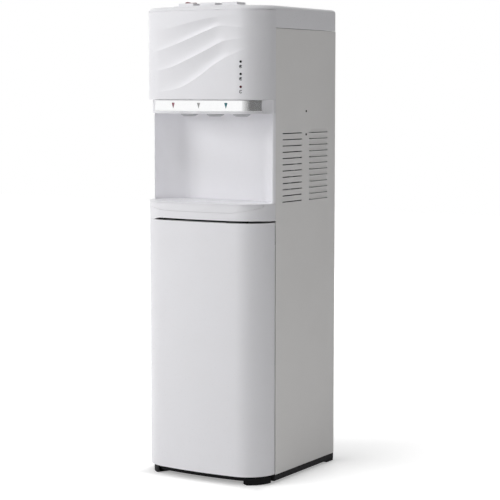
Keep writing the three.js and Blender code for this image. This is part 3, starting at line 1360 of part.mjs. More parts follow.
function makeHoses(probeTop, barbTop) {
  const hose = (name, places, steps) => add(name, 'clearHose', tube(smoothRoute(places, steps), hoseRadius, hoseSides));
  const { x, y } = probePlace;
  const loopTop = barbTop + hoseLoop;
  hose('suction_hose', [
    [x, y, probeTop + fit], [x, y, shelfTop + hoseStart], [x, y, barbTop + hoseStart],
    [x, (y + pumpIn.y) / 2, loopTop], [pumpIn.x, pumpIn.y, barbTop + hoseStart], [pumpIn.x, pumpIn.y, barbTop + fit],
  ], 12);
  const portTop = tankTop + portHeight + fit;
  const arch = portTop + hoseTurn + hoseEnd;
  hose('riser_hose', [
    [pumpOut.x, pumpOut.y, barbTop + fit], [pumpOut.x, pumpOut.y, barbTop + hoseStart],
    [(pumpOut.x + riserPlace.x) / 2, (pumpOut.y + riserPlace.y) / 2, loopTop + hoseLoop],
    [riserPlace.x, riserPlace.y, loopTop + 2 * hoseLoop],
    [riserPlace.x, riserPlace.y, deckBottom - hoseStart], [riserPlace.x, riserPlace.y, deckTop + hoseLoop],
    [riserPlace.x, riserPlace.y, tankTop - hoseStart], [riserPlace.x - hoseTurn, riserPlace.y - hoseTurn, arch],
    [coldPlace.x + hoseTurn, coldPlace.y + hoseTurn, arch], [coldPlace.x, coldPlace.y, portTop + hoseEnd],
    [coldPlace.x, coldPlace.y, portTop],
  ], 20);
  const over = (name, start, finish) => {
    const [startX, startY] = start;
    const [finishX, finishY] = finish;
    const startZ = elbowTop + fit;
    hose(name, [
      [...start, startZ], [...start, startZ + hoseEnd], [...start, (startZ + portTop) / 2], [...start, portTop - hoseEnd],
      [(startX * 3 + finishX) / 4, (startY * 3 + finishY) / 4, portTop + hoseTurn],
      [(startX + finishX * 3) / 4, (startY + finishY * 3) / 4, portTop + hoseTurn],
      [...finish, portTop + hoseEnd], [...finish, portTop],
    ], 13);
  };
  over('cold_tap_hose', [tapPitch, elbowY], coldPortPlaces[0]);
  over('room_tap_hose', [0, elbowY], coldPortPlaces[1]);
  over('hot_tap_hose', [-tapPitch, elbowY], hotPortPlaces[0]);
  const [fromX, fromY] = coldPortPlaces[2];
  const [toX, toY] = hotPortPlaces[1];
  hose('hot_feed_hose', [
    [fromX, fromY, portTop], [fromX, fromY, portTop + hoseEnd], [fromX - hoseTurn, fromY, arch],
    [(fromX + toX) / 2, (fromY + toY) / 2, arch], [toX + hoseTurn, toY, arch],
    [toX, toY, portTop + hoseEnd], [toX, toY, portTop],
  ], 11);
}

// Rear fittings: switch panel with two rockers, mains inlet and drain cap
function makeRearFittings() {
  const plateThickness = 2;
  const rockerSize = [13, 12];
  const rockerSpread = 15;
  const housingDepth = 15;
  const front = backPanelY + fit;
  const face = front + plateThickness;
  const [panelWidth, panelHeight] = switchPanelSize;
  const [housingWidth, housingHeight] = switchHousingSize;
  const { x, z } = switchPlace;
  const plate = block([x - panelWidth / 2, x + panelWidth / 2], [front, face], [z - panelHeight / 2, z + panelHeight / 2]);
  const housing = block([x - housingWidth / 2, x + housingWidth / 2], [front - housingDepth, front + sheet],
    [z - housingHeight / 2, z + housingHeight / 2]);
  let switchPanel = join(plate, housing);
  const [rockerWidth, rockerRadius] = rockerSize;
  const pivotY = face - rockerRadius / 4;
  const tilt = THREE.MathUtils.degToRad(8);
  for (const [name, side] of [['rocker_hot', -1], ['rocker_cold', 1]]) {
    const middle = x + side * rockerSpread;
    const well = block([middle - rockerWidth / 2 - running, middle + rockerWidth / 2 + running],
      [pivotY - rockerRadius * 2 / 3 - running, face + overrun],
      [z - rockerRadius - running, z + rockerRadius + running]);
    switchPanel = switchPanel.subtract(well);
    const disc = new THREE.CylinderGeometry(rockerRadius, rockerRadius, rockerWidth, roundSides);
    let rocker = solid(disc.rotateZ(Math.PI / 2).translate(middle, 0, 0));
    const reach = 2 * rockerRadius;
    const proud = rockerRadius / 2;
    for (const hand of [-1, 1]) {
      const outside = block([middle - rockerWidth, middle + rockerWidth], [proud, proud + reach],
        [hand > 0 ? 0 : -reach, hand > 0 ? reach : 0]);
      const lean = THREE.MathUtils.radToDeg(tilt) * hand;
      rocker = rocker.subtract(outside.translate([0, -proud, 0]).rotate([-lean, 0, 0]).translate([0, proud, 0]));
    }
    rocker = rocker.intersect(block([middle - rockerWidth, middle + rockerWidth], [-proud, reach], [-reach, reach]));
    const restTilt = -THREE.MathUtils.radToDeg(tilt);
    add(name, 'blackPlastic', rocker.rotate([restTilt, 0, 0]).translate([0, pivotY, z]));
  }
  add('switch_panel', 'blackPlastic', switchPanel);
  makeInlet(front, face);
  makeDrainCap();
}

function makeInlet(front, face) {
  const depth = 18;
  const pocketSize = [24.5, 17];
  const pinSize = [2, 4];
  const pinLength = 13;
  const rise = 2;
  const { x, z } = inletPlace;
  const [flangeWidth, flangeHeight] = inletFlangeSize;
  const [bodyWidth, bodyHeight] = inletBodySize;
  const [pocketWidth, pocketHeight] = pocketSize;
  const flange = block([x - flangeWidth / 2, x + flangeWidth / 2], [front, face],
    [z - flangeHeight / 2, z + flangeHeight / 2]);
  const body = block([x - bodyWidth / 2, x + bodyWidth / 2], [front - depth, front + sheet],
    [z - bodyHeight / 2, z + bodyHeight / 2]);
  const floor = front - depth + wall;
  const pocket = block([x - pocketWidth / 2, x + pocketWidth / 2], [floor, face + overrun],
    [z - pocketHeight / 2, z + pocketHeight / 2]);
  const [pinWidth, pinHeight] = pinSize;
  const pins = [[-7, rise], [0, 2 * rise], [7, rise]].map(([offset, lift]) => block(
    [x + offset - pinWidth / 2, x + offset + pinWidth / 2], [floor - fit, floor + pinLength],
    [z + lift - pinHeight / 2, z + lift + pinHeight / 2]));
  add('power_inlet', 'blackPlastic', join(cut(join(flange, body), pocket), ...pins));
}

function makeDrainCap() {
  const capRadius = 11;
  const capLength = 13;
  const overlap = 8;
  const gripCount = 6;
  const gripRadius = 1.5;
  const start = drainEndY - overlap;
  const { x, z } = drainPlace;
  let cap = cut(barAlongY(x, z, capRadius, start, start + capLength),
    barAlongY(x, z, drainRadius + running, start - overrun, drainEndY + fit));
  for (let i = 0; i < gripCount; i++) {
    const angle = 2 * Math.PI * i / gripCount;
    cap = cap.subtract(barAlongY(x + capRadius * Math.cos(angle), z + capRadius * Math.sin(angle), gripRadius,
      start - overrun, start + capLength + overrun, hoseSides));
  }
  add('drain_cap', 'blackPlastic', cap);
}

makeBase();
makeSidePanels();
makeBackPanel();
makeTopCover();
makeWavePanel();
makeLights();
makeNicheShell();
makeApron();
makeDripTray();
makeNose();
makeTaps();
makeConsole();
makeButtons();
makeBayLiner();
makeShelf();
makeLowerHinge();
makeDoor();
makeTanks();
makeCompressor();
makeCondenser();
makeRearFittings();
makeHoses(makeProbe(), makePump());

export default group;
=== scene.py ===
import math

import bmesh
import bpy
import numpy as np
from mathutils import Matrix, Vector


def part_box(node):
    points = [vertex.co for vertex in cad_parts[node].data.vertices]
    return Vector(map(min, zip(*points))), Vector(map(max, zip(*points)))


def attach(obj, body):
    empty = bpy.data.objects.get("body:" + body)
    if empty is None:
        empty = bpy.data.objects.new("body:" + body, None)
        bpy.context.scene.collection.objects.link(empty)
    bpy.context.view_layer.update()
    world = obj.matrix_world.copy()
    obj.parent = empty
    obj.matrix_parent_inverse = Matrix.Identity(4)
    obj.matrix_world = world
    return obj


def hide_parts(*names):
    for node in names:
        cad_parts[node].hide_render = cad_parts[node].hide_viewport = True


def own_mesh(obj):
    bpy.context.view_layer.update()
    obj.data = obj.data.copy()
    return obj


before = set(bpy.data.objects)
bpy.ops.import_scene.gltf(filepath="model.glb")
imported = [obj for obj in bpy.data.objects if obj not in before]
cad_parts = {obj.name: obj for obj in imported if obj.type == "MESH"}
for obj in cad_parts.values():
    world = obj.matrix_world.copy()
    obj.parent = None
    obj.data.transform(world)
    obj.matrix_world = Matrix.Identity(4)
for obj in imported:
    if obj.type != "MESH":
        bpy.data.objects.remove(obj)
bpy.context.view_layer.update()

# Door skin: one curved white moulding, two millimetres thick, whose bow and round corners give the whole
# cooler its plan. It is turned in at both ends, and clips over the dark caps at its top and bottom.
mm = 0.001
casing_width = 310 * mm
casing_depth = 330 * mm
bow_radius = 853 * mm
corner_radius = 68 * mm
half_width = casing_width / 2
rear_y = casing_depth / 2
bow_centre = bow_radius - casing_depth / 2
corner_x = half_width - corner_radius
corner_y = bow_centre - math.sqrt((bow_radius - corner_radius) ** 2 - corner_x ** 2)
bow_spread = math.asin(corner_x / (bow_radius - corner_radius))
door_bottom = 19.2 * mm
door_top = 560 * mm
door_end_y = corner_y - 1.2 * mm
door_skin_wall = 2 * mm
door_skin_depth = 13.7 * mm
door_skin_round = 0.8 * mm
door_fold = 2.6 * mm
edge_round = 0.5 * mm
guard_share = 1.06
same_point = 0.002 * mm


def front_places(heading):
    """Places and outward directions on the front, for headings measured from straight ahead.

    Within the bow's spread a place is the bow's centre plus the bow's radius along the heading, and beyond
    it the nearer corner's centre plus the corner's radius along the heading."""
    outward = np.stack([np.sin(heading), -np.cos(heading)], axis=-1)
    on_corner = (np.abs(heading) > bow_spread)[..., None]
    corner = np.stack([np.sign(heading) * corner_x, np.full_like(heading, corner_y)], axis=-1)
    centre = np.where(on_corner, corner, [0, bow_centre])
    radius = np.where(on_corner, corner_radius, bow_radius)
    return centre + radius * outward, outward


def front_heading(end_y):
    """The heading at which the right corner passes a given depth: its cosine is the drop over the radius."""
    return math.pi / 2 - math.asin(max(0, corner_y - end_y) / corner_radius)


def front_line(end_y, corner_steps=24, bow_steps=32):
    """The front from its left end to its right end: bow, corners and, past the corners, straight sides."""
    corner = np.linspace(bow_spread, front_heading(end_y), corner_steps + 1)[1:]
    bow = np.linspace(-bow_spread, bow_spread, bow_steps + 1)
    place, outward = front_places(np.concatenate([-corner[::-1], bow, corner]))
    if end_y > corner_y:
        place = np.vstack([[-half_width, end_y], place, [half_width, end_y]])
        outward = np.vstack([[-1, 0], outward, [1, 0]])
    return place, outward


def rounded(corners, radius, steps=4):
    """Closed outlines with each corner replaced by a parabola that starts and ends a radius away from it.

    One more point beyond each end of it keeps the straight stretches flat in smooth shading."""
    corners = np.asarray(corners, float)
    before = np.roll(corners, 1, axis=-2) - corners
    after = np.roll(corners, -1, axis=-2) - corners
    before /= np.linalg.norm(before, axis=-1, keepdims=True)
    after /= np.linalg.norm(after, axis=-1, keepdims=True)
    share = np.linspace(0, 1, steps + 1)[:, None]
    bend = (1 - share) ** 2 * before[..., None, :] + share ** 2 * after[..., None, :]
    bend = np.concatenate([guard_share * bend[..., :1, :], bend, guard_share * bend[..., -1:, :]], axis=-2)
    radius = np.broadcast_to(radius, corners.shape[:-1])[..., None, None]
    points = corners[..., None, :] + radius * bend
    return points.reshape(corners.shape[:-2] + (-1, 2))


def shrunk(outline, distance):
    """Closed outlines moved in by a distance, square to the line between each point's neighbours."""
    along = np.roll(outline, -1, axis=-2) - np.roll(outline, 1, axis=-2)
    along /= np.linalg.norm(along, axis=-1, keepdims=True)
    left = np.stack([-along[..., 1], along[..., 0]], axis=-1)
    following = np.roll(outline, -1, axis=-2)
    area = np.sum(outline[..., 0] * following[..., 1] - following[..., 0] * outline[..., 1], axis=-1)
    return outline + distance * np.sign(area)[..., None, None] * left


def carried(profile, place, outward):
    """Profiles of insets and heights along a plan: each place less the inset along its outward direction."""
    profile = np.broadcast_to(profile, (len(place),) + profile.shape[-2:])
    plan = place[:, None] - outward[:, None] * profile[..., :1]
    return np.concatenate([plan, profile[..., 1:]], axis=-1)


def grid_faces(rows, columns, loop_rows=False, loop_columns=False):
    """The four-cornered faces between neighbouring points of a grid, closed into a loop where asked."""
    row, column = np.meshgrid(
        np.arange(rows if loop_rows else rows - 1), np.arange(columns if loop_columns else columns - 1),
        indexing="ij")
    next_row, next_column = (row + 1) % rows, (column + 1) % columns
    corners = [row * columns + column, next_row * columns + column,
               next_row * columns + next_column, row * columns + next_column]
    return np.stack(corners, axis=-1).reshape(-1, 4).tolist()


def closed_stack(rings):
    """Closed rings joined in order, with the first and the last one filled: points and faces."""
    rows, columns = rings.shape[:2]
    ends = [list(range(columns))[::-1], list(range((rows - 1) * columns, rows * columns))]
    return rings.reshape(-1, 3), grid_faces(rows, columns, loop_columns=True) + ends


def run_along(profile, place, outward, end_round=edge_round, steps=3):
    """A closed profile carried along a plan, its two ends rounded over and closed.

    At an end the profile shrinks by the radius times one less the cosine of an angle, while the place runs
    on by the radius times its sine."""
    profile = np.broadcast_to(profile, (len(place),) + profile.shape[-2:])
    angle = np.linspace(0, math.pi / 2, steps + 1)
    shrink = end_round * (1 - np.cos(angle))
    reach = end_round * (1 - np.sin(angle))
    ahead = np.stack([-outward[:, 1], outward[:, 0]], axis=-1)
    rings = [carried(profile[1:-1], place[1:-1], outward[1:-1])]
    for end, sign in ((0, -1), (-1, 1)):
        cap_profile = np.stack([shrunk(profile[end], distance) for distance in shrink])
        cap_place = place[end] - sign * ahead[end] * reach[:, None]
        cap = carried(cap_profile, cap_place, np.broadcast_to(outward[end], cap_place.shape))
        rings = rings + [cap] if sign > 0 else [cap[::-1]] + rings
    return closed_stack(np.concatenate(rings))


def joined(*shells):
    """Several shells as one: the points in one list, and each shell's faces counted on from the last."""
    points, faces, count = [], [], 0
    for shell_points, shell_faces in shells:
        points.append(np.reshape(shell_points, (-1, 3)))
        faces += [[corner + count for corner in face] for face in shell_faces]
        count += len(points[-1])
    return np.concatenate(points), faces


def make_piece(name, shell, sharp_angle=32, outwards=True):
    """A mesh piece from its points and faces, with doubles merged, faces turned outwards and edges kept."""
    points, faces = shell
    mesh = bpy.data.meshes.new(name)
    mesh.from_pydata(np.reshape(points, (-1, 3)).tolist(), [], faces)
    build = bmesh.new()
    build.from_mesh(mesh)
    bmesh.ops.remove_doubles(build, verts=build.verts, dist=same_point)
    if outwards:
        bmesh.ops.recalc_face_normals(build, faces=build.faces)
    build.to_mesh(mesh)
    build.free()
    mesh.shade_smooth()
    mesh.set_sharp_from_angle(angle=math.radians(sharp_angle))
    piece = bpy.data.objects.new(name, mesh)
    bpy.context.scene.collection.objects.link(piece)
    return piece


def settle(piece, material, body, slot, *nodes):
    """Gives a piece its material and its body, and hides the nodes that it stands for; the slot is not used.
    """
    piece.data.materials.append(material)
    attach(piece, body)
    if nodes:
        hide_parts(*nodes)
    return piece


mix_first, mix_second, mix_result = 6, 7, 2


def effect_group(name, inputs, outputs):
    """A shader node group with named inputs and outputs, each a title and a kind, with its two end nodes."""
    group = bpy.data.node_groups.new(name, "ShaderNodeTree")
    for way, sockets in (("INPUT", inputs), ("OUTPUT", outputs)):
        for title, kind in sockets.items():
            group.interface.new_socket(title, in_out=way, socket_type="NodeSocket" + kind)
    return group, group.nodes.new("NodeGroupInput"), group.nodes.new("NodeGroupOutput")


def noise(tree, scale, detail):
    """A noise texture on Object coordinates, as its value's socket."""
    texture = tree.nodes.new("ShaderNodeTexNoise")
    texture.inputs["Scale"].default_value = scale
    texture.inputs["Detail"].default_value = detail
    tree.links.new(tree.nodes.new("ShaderNodeTexCoord").outputs["Object"], texture.inputs["Vector"])
    return texture.outputs["Fac"]


def feed(tree, socket, value):
    """Gives a socket its value: a number, a colour of three parts, or a link from another socket."""
    if isinstance(value, bpy.types.NodeSocket):
        tree.links.new(value, socket)
    else:
        socket.default_value = value + (1,) if isinstance(value, tuple) else value


def remapped(tree, value, low, high, out_low, out_high):
    """A value carried from one range to another, and kept inside it."""
    node = tree.nodes.new("ShaderNodeMapRange")
    titles = ("Value", "From Min", "From Max", "To Min", "To Max")
    for title, given in zip(titles, (value, low, high, out_low, out_high)):
        feed(tree, node.inputs[title], given)
    return node.outputs["Result"]


def tinted(tree, mask, first, second):
    """A mix of two colours by a mask."""
    node = tree.nodes.new("ShaderNodeMix")
    node.data_type = "RGBA"
    feed(tree, node.inputs["Factor"], mask)
    feed(tree, node.inputs[mix_first], first)
    feed(tree, node.inputs[mix_second], second)
    return node.outputs[mix_result]


def bumped(tree, height, distance, *normal):
    """A bump from a height socket, on top of an earlier normal where there is one."""
    node = tree.nodes.new("ShaderNodeBump")
    for title, given in zip(("Height", "Distance", "Normal"), (height, distance, *normal)):
        feed(tree, node.inputs[title], given)
    return node.outputs["Normal"]


finish_outputs = {"Colour": "Color", "Roughness": "Float", "Normal": "Vector"}
wide_span, patch_span = (0.3, 0.7), (0.35, 0.75)
patch_scale, spark_scale, swell_scale, grain_scale = 14, 320, 22, 1900
moulding, start, end = effect_group(
    "moulded surface",
    {"Colour": "Color", "Dust": "Color", "Dust Share": "Float", "Smooth": "Float", "Rough": "Float",
     "Grain": "Float", "Swell": "Float"}, finish_outputs)
dusty = remapped(moulding, noise(moulding, patch_scale, 4), *patch_span, 0, start.outputs["Dust Share"])
sparkle = remapped(moulding, noise(moulding, spark_scale, 3), *wide_span,
                   start.outputs["Smooth"], start.outputs["Rough"])
swelling = bumped(moulding, noise(moulding, swell_scale, 1), start.outputs["Swell"])
grained = bumped(moulding, noise(moulding, grain_scale, 2), start.outputs["Grain"], swelling)
dusted = tinted(moulding, dusty, start.outputs["Colour"], start.outputs["Dust"])
for title, result in (("Colour", dusted), ("Roughness", sparkle), ("Normal", grained)):
    moulding.links.new(result, end.inputs[title])


def new_material(name, **sockets):
    """A new material, its node tree and its shader, with constants on the shader's sockets."""
    material = bpy.data.materials.new(name)
    material.use_nodes = True
    shader = material.node_tree.nodes["Principled BSDF"]
    for title, value in sockets.items():
        shader.inputs[title.replace("_", " ")].default_value = value
    return material, material.node_tree, shader


def finished_material(name, finish, values, **sockets):
    """A material of one finish effect with its own values, and any constants on the shader's sockets."""
    material, tree, shader = new_material(name, **sockets)
    effect = tree.nodes.new("ShaderNodeGroup")
    effect.node_tree = finish
    for title, value in values.items():
        feed(tree, effect.inputs[title], value)
    for title, socket in (("Colour", "Base Color"), ("Roughness", "Roughness"), ("Normal", "Normal")):
        tree.links.new(effect.outputs[title], shader.inputs[socket])
    return material


def moulded_material(name, colour, dust, dust_share, smooth, rough, grain, swell, **sockets):
    """A plastic finish: a mould's fine spark texture over a slow unevenness, and dust in patches."""
    values = {"Colour": colour, "Dust": dust, "Dust Share": dust_share, "Smooth": smooth, "Rough": rough,
              "Grain": grain, "Swell": swell}
    return finished_material(name, moulding, values, **sockets)


def turned_in(place, outward, radius, depth, steps=6):
    """A plan whose two ends turn inwards: a quarter round, then a straight run of a given depth."""
    angle = np.linspace(0, math.pi / 2, steps + 1)[:, None]
    ahead = np.array([-outward[-1, 1], outward[-1, 0]])
    centre = place[-1] - radius * outward[-1] - radius * ahead
    fold_outward = np.cos(angle) * outward[-1] + np.sin(angle) * ahead
    fold = centre + radius * fold_outward
    last = fold[-1] - (depth - radius) * outward[-1]
    right_place = np.vstack([fold, last])
    right_outward = np.vstack([fold_outward, ahead])
    flip = np.array([-1, 1])
    return (np.vstack([right_place[::-1] * flip, place[1:-1], right_place]),
            np.vstack([right_outward[::-1] * flip, outward[1:-1], right_outward]))


def wall_profile(outer, inner, bottom, top, radius=edge_round):
    """The upright section of a wall between two insets and two levels, with rounded edges."""
    return rounded([[outer, bottom], [outer, top], [inner, top], [inner, bottom]], radius, steps=3)


white_gloss = moulded_material(
    "white_gloss_plastic", colour=(0.86, 0.856, 0.885), dust=(0.80, 0.79, 0.785), dust_share=0.10,
    smooth=0.27, rough=0.31, grain=0.0015 * mm, swell=0.02 * mm, Specular_IOR_Level=0.35)
skin_place, skin_outward = turned_in(*front_line(door_end_y), door_fold, door_skin_depth)
door_skin = make_piece("door_front_skin", run_along(
    wall_profile(0, door_skin_wall, door_bottom, door_top, door_skin_round), skin_place, skin_outward))
settle(door_skin, white_gloss, "door", "white_plastic", "door_skin")

# Door caps: two black mouldings that close the skin's top and bottom. The top one has a groove for the
# fingers along its middle, and shows as a dark line under the apron: its black there stands in for the
# shade of the unlit gap above the door, as painted shade.
cap_outer = 2.3 * mm
cap_height = 18 * mm
cap_end_y = door_end_y - 3.1 * mm
groove_half = 70 * mm
groove_wall = 2 * mm
groove_floor = door_top - 14 * mm
cap_round = 0.3 * mm
groove_step = 0.1 * mm
cap_places = 81
black_plastic = moulded_material(
    "black_moulded_plastic", colour=(0.006, 0.006, 0.007), dust=(0.02, 0.019, 0.018), dust_share=0.2,
    smooth=0.5, rough=0.65, grain=0.02 * mm, swell=0.04 * mm, Specular_IOR_Level=0.12)


def changing_section(*corners):
    """Sections from corners, each an inset and a level; either may change along the line."""
    columns = np.broadcast_arrays(*[value for corner in corners for value in corner])
    return np.stack(columns, axis=-1).reshape(len(columns[0]), -1, 2)


def grooved_profile(x):
    """The top cap's section: a full block, whose back part drops to the groove's floor near the middle."""
    back_top = np.where(np.abs(x) < groove_half, groove_floor, door_top - cap_round)
    inner, under = cap_outer + groove_wall, door_top - cap_height
    return changing_section((cap_outer, under), (door_skin_depth, under), (door_skin_depth, back_top),
                            (inner, back_top), (inner, door_top), (cap_outer, door_top))


def with_steps(heading, breaks):
    """Headings with a close pair added at each break on the bow, so that a section can step there."""
    pairs = [math.asin(x / bow_radius) for side in breaks for x in (side - groove_step, side + groove_step)]
    return np.sort(np.concatenate([heading, pairs]))


cap_turn = front_heading(cap_end_y)
cap_heading = with_steps(np.linspace(-cap_turn, cap_turn, cap_places), (-groove_half, groove_half))
cap_place, cap_outward = front_places(cap_heading)
top_cap = make_piece("door_top_cap_moulding", run_along(
    grooved_profile(cap_place[:, 0]), cap_place, cap_outward, cap_round))
settle(top_cap, black_plastic, "door", "black_plastic", "door_top_cap")
bottom_cap = make_piece("door_bottom_cap_moulding", run_along(
    wall_profile(cap_outer, door_skin_depth, door_bottom, door_bottom + cap_height, cap_round),
    *front_line(cap_end_y)))
settle(bottom_cap, black_plastic, "door", "black_plastic", "door_bottom_cap")

# Door liner: the door's white inner sheet, vacuum formed with a raised frame round a shallow field. The
# magnet that holds the door shut, and the steel hinge pins that it turns on, stay as they are in the frame.
liner_inset = 14 * mm
liner_wall = 2 * mm
field_depth = 0.8 * mm
field_margin = 24 * mm
field_slope = 10 * mm


def smooth_step(value, low, high):
    """Zero below the low end, one above the high end, and three squared less twice cubed between them."""
    share = np.clip((value - low) / (high - low), 0, 1)
    return share * share * (3 - 2 * share)


def liner_sections(place, levels):
    """The liner's sections: a plain outer side, and an inner side that sinks inside a frame."""
    reach = np.abs(place[:, 0])[:, None]
    inside = 1 - smooth_step(reach, half_width - field_margin - field_slope, half_width - field_margin)
    rise = smooth_step(levels, door_bottom + field_margin, door_bottom + field_margin + field_slope)
    fall = 1 - smooth_step(levels, door_top - field_margin - field_slope, door_top - field_margin)
    inner = liner_inset + liner_wall - field_depth * inside * (rise * fall)[None, :]
    heights = np.broadcast_to(levels, inner.shape)
    front = np.broadcast_to([[liner_inset, levels[-1]], [liner_inset, levels[0]]], (len(place), 2, 2))
    return np.concatenate([np.stack([inner, heights], axis=-1), front], axis=1)


liner_place, liner_outward = front_line(door_end_y)
liner_levels = np.concatenate([
    [door_bottom], np.linspace(door_bottom + field_margin, door_bottom + field_margin + field_slope, 9),
    np.linspace(door_top - field_margin - field_slope, door_top - field_margin, 9), [door_top]])
door_liner = make_piece("door_inner_liner", closed_stack(
    carried(liner_sections(liner_place, liner_levels), liner_place, liner_outward)))
white_liner = moulded_material(
    "white_liner_plastic", colour=(0.78, 0.785, 0.79), dust=(0.66, 0.65, 0.62), dust_share=0.12,
    smooth=0.35, rough=0.5, grain=0.03 * mm, swell=0.12 * mm)
settle(door_liner, white_liner, "door", "white_plastic", "door_liner")


def wear_node(material, *names):
    """Gives nodes that stay as they are in the frame a procedural material."""
    for name in names:
        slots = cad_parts[name].material_slots
        if slots:
            slots[0].material = material
        else:
            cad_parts[name].data.materials.append(material)


stain_scale, wear_scale, brush_scale = 35, 90, 1400
stain_span = (0.4, 0.7)
metal_effect, start, end = effect_group(
    "worked metal",
    {"Colour": "Color", "Stain": "Color", "Stain Share": "Float", "Smooth": "Float", "Rough": "Float",
     "Grain": "Float"}, finish_outputs)
stains = remapped(metal_effect, noise(metal_effect, stain_scale, 5), *stain_span,
                  0, start.outputs["Stain Share"])
stained = tinted(metal_effect, stains, start.outputs["Colour"], start.outputs["Stain"])
worn = remapped(metal_effect, noise(metal_effect, wear_scale, 4), *wide_span,
                start.outputs["Smooth"], start.outputs["Rough"])
brushed = bumped(metal_effect, noise(metal_effect, brush_scale, 3), start.outputs["Grain"])
for title, result in (("Colour", stained), ("Roughness", worn), ("Normal", brushed)):
    metal_effect.links.new(result, end.inputs[title])


def metal_material(name, colour, stain, stain_share, smooth, rough, grain, metallic):
    """A metal finish: stains in patches, roughness that wanders, and a fine drawn grain."""
    values = {"Colour": colour, "Stain": stain, "Stain Share": stain_share, "Smooth": smooth,
              "Rough": rough, "Grain": grain}
    return finished_material(name, metal_effect, values, Metallic=metallic)


steel = metal_material(
    "drawn_steel", colour=(0.56, 0.57, 0.58), stain=(0.36, 0.35, 0.34), stain_share=0.4, smooth=0.25,
    rough=0.42, grain=0.008 * mm, metallic=1)
wear_node(black_plastic, "door_magnet")
wear_node(steel, "upper_hinge_pin", "lower_hinge")

# Base tray: a black moulded pan under the cabinet, flush with the sides and set back under the door. Its
# rim hangs round a hollow underside, and two pads carry it at the back.
foot_height = 4 * mm
base_top = 17.2 * mm
base_inset = 12 * mm
base_side = half_width - 0.5 * mm
base_rear = rear_y - 0.5 * mm
base_step_y = corner_y - 3.6 * mm
base_rim = 6 * mm
base_floor = 3 * mm
base_round = 0.8 * mm
base_corner = 1.5 * mm
pad_size = 30 * mm
pad_corner = 3 * mm
front_lift = 4.5 * mm
front_lift_run = 10 * mm


def base_outline():
    """The tray's plan: the front line set back, a step out to each side, and square rear corners."""
    place, outward = front_line(corner_y, corner_steps=16, bow_steps=24)
    front = place - base_inset * outward
    square = rounded([[-base_side, base_rear], [-base_side, base_step_y], [base_side, base_step_y],
                      [base_side, base_rear]], base_corner)
    quarter = len(square) // 4
    step = np.array([[base_side - base_corner, base_step_y], [base_side, base_step_y + base_corner]])
    return np.vstack([step[::-1] * [-1, 1], front[front[:, 1] < base_step_y], step,
                      square[3 * quarter:], square[:quarter]])


def rings_at(outlines, levels):
    """Closed outlines lifted to their levels."""
    return np.stack([np.column_stack([outline, np.full(len(outline), level)])
                     for outline, level in zip(outlines, levels)])


def plate(outline, bottom, top, radius, steps=3):
    """A solid plate of an outline: it shrinks by a radius at both edges along a quarter round."""
    angle = np.linspace(0, math.pi / 2, steps + 1)
    shrink = radius * (1 - np.sin(angle))
    lift = radius * (1 - np.cos(angle))
    outlines = [shrunk(outline, distance) for distance in shrink] + \
        [shrunk(outline, distance) for distance in shrink[::-1]]
    return closed_stack(rings_at(outlines, np.concatenate([bottom + lift, top - lift[::-1]])))


def box_outline(x_low, x_high, y_low, y_high, radius, steps=6):
    """A rectangle in plan with rounded corners."""
    return rounded([[x_low, y_low], [x_high, y_low], [x_high, y_high], [x_low, y_high]], radius, steps)


base_plan = base_outline()
pocket_plan = shrunk(base_plan, base_rim)
base_rings = rings_at(
    [shrunk(base_plan, base_round), base_plan, base_plan, shrunk(base_plan, base_round),
     pocket_plan, shrunk(pocket_plan, base_round)],
    [base_top, base_top - base_round, foot_height + base_round, foot_height, foot_height,
     base_top - base_floor])
base_rings[2:5, :, 2] += front_lift * smooth_step(base_step_y - base_plan[:, 1], 0, front_lift_run)
rear_pads = []
for hand in (-1, 1):
    pad_sides = sorted((hand * base_side, hand * (base_side - pad_size)))
    pad_plan = box_outline(*pad_sides, base_rear - pad_size, base_rear, pad_corner)
    rear_pads.append(plate(pad_plan, 0, foot_height + base_floor, base_round))
base_tray = make_piece("base_tray_moulding", joined(closed_stack(base_rings), *rear_pads))
settle(base_tray, black_plastic, "cabinet", "black_plastic", "base_tray")

# Front feet: two curved black mouldings under the front corners. Each has a flat sole under the tray's
# rim and a wall that hooks up in front of it.
foot_outer = 7 * mm
foot_lip = 4.7 * mm
foot_sole = 32 * mm
foot_sole_height = 3.7 * mm
foot_top = 15.2 * mm
foot_end_y = corner_y - 6.6 * mm
foot_inner_x = 112 * mm
foot_slant = 9 * mm
foot_rise = 3 * mm
foot_round = 0.6 * mm
foot_end_round = 1 * mm
foot_places = 25
foot_profile = rounded(
    [[foot_outer, 0], [foot_outer, foot_top], [foot_outer + foot_lip, foot_top],
     [foot_outer + foot_lip, foot_sole_height], [foot_outer + foot_sole, foot_sole_height],
     [foot_outer + foot_sole, 0]], foot_round, steps=3)


def slanted(profile, reach):
    """A foot's section at each reach along it, its lowest points lifted near the start.

    The lift falls off as one less a smooth step, and acts on each point by how far it lies under the sole's
    top."""
    lift = foot_rise * (1 - smooth_step(reach, 0, foot_slant))
    share = np.clip(1 - profile[:, 1] / foot_sole_height, 0, 1)
    sections = np.repeat(profile[None], len(reach), axis=0)
    sections[..., 1] += lift[:, None] * share[None, :]
    return sections


foot_turns = (math.asin((foot_inner_x - corner_x) / corner_radius), front_heading(foot_end_y))
for hand, name in ((-1, "foot_front_left"), (1, "foot_front_right")):
    foot_heading = np.linspace(*sorted((hand * foot_turns[0], hand * foot_turns[1])), foot_places)
    foot_reach = (np.abs(foot_heading) - foot_turns[0]) * corner_radius
    foot = make_piece(name + "_moulding", run_along(
        slanted(foot_profile, foot_reach), *front_places(foot_heading), foot_end_round))
    settle(foot, black_plastic, "cabinet", "black_plastic", name)

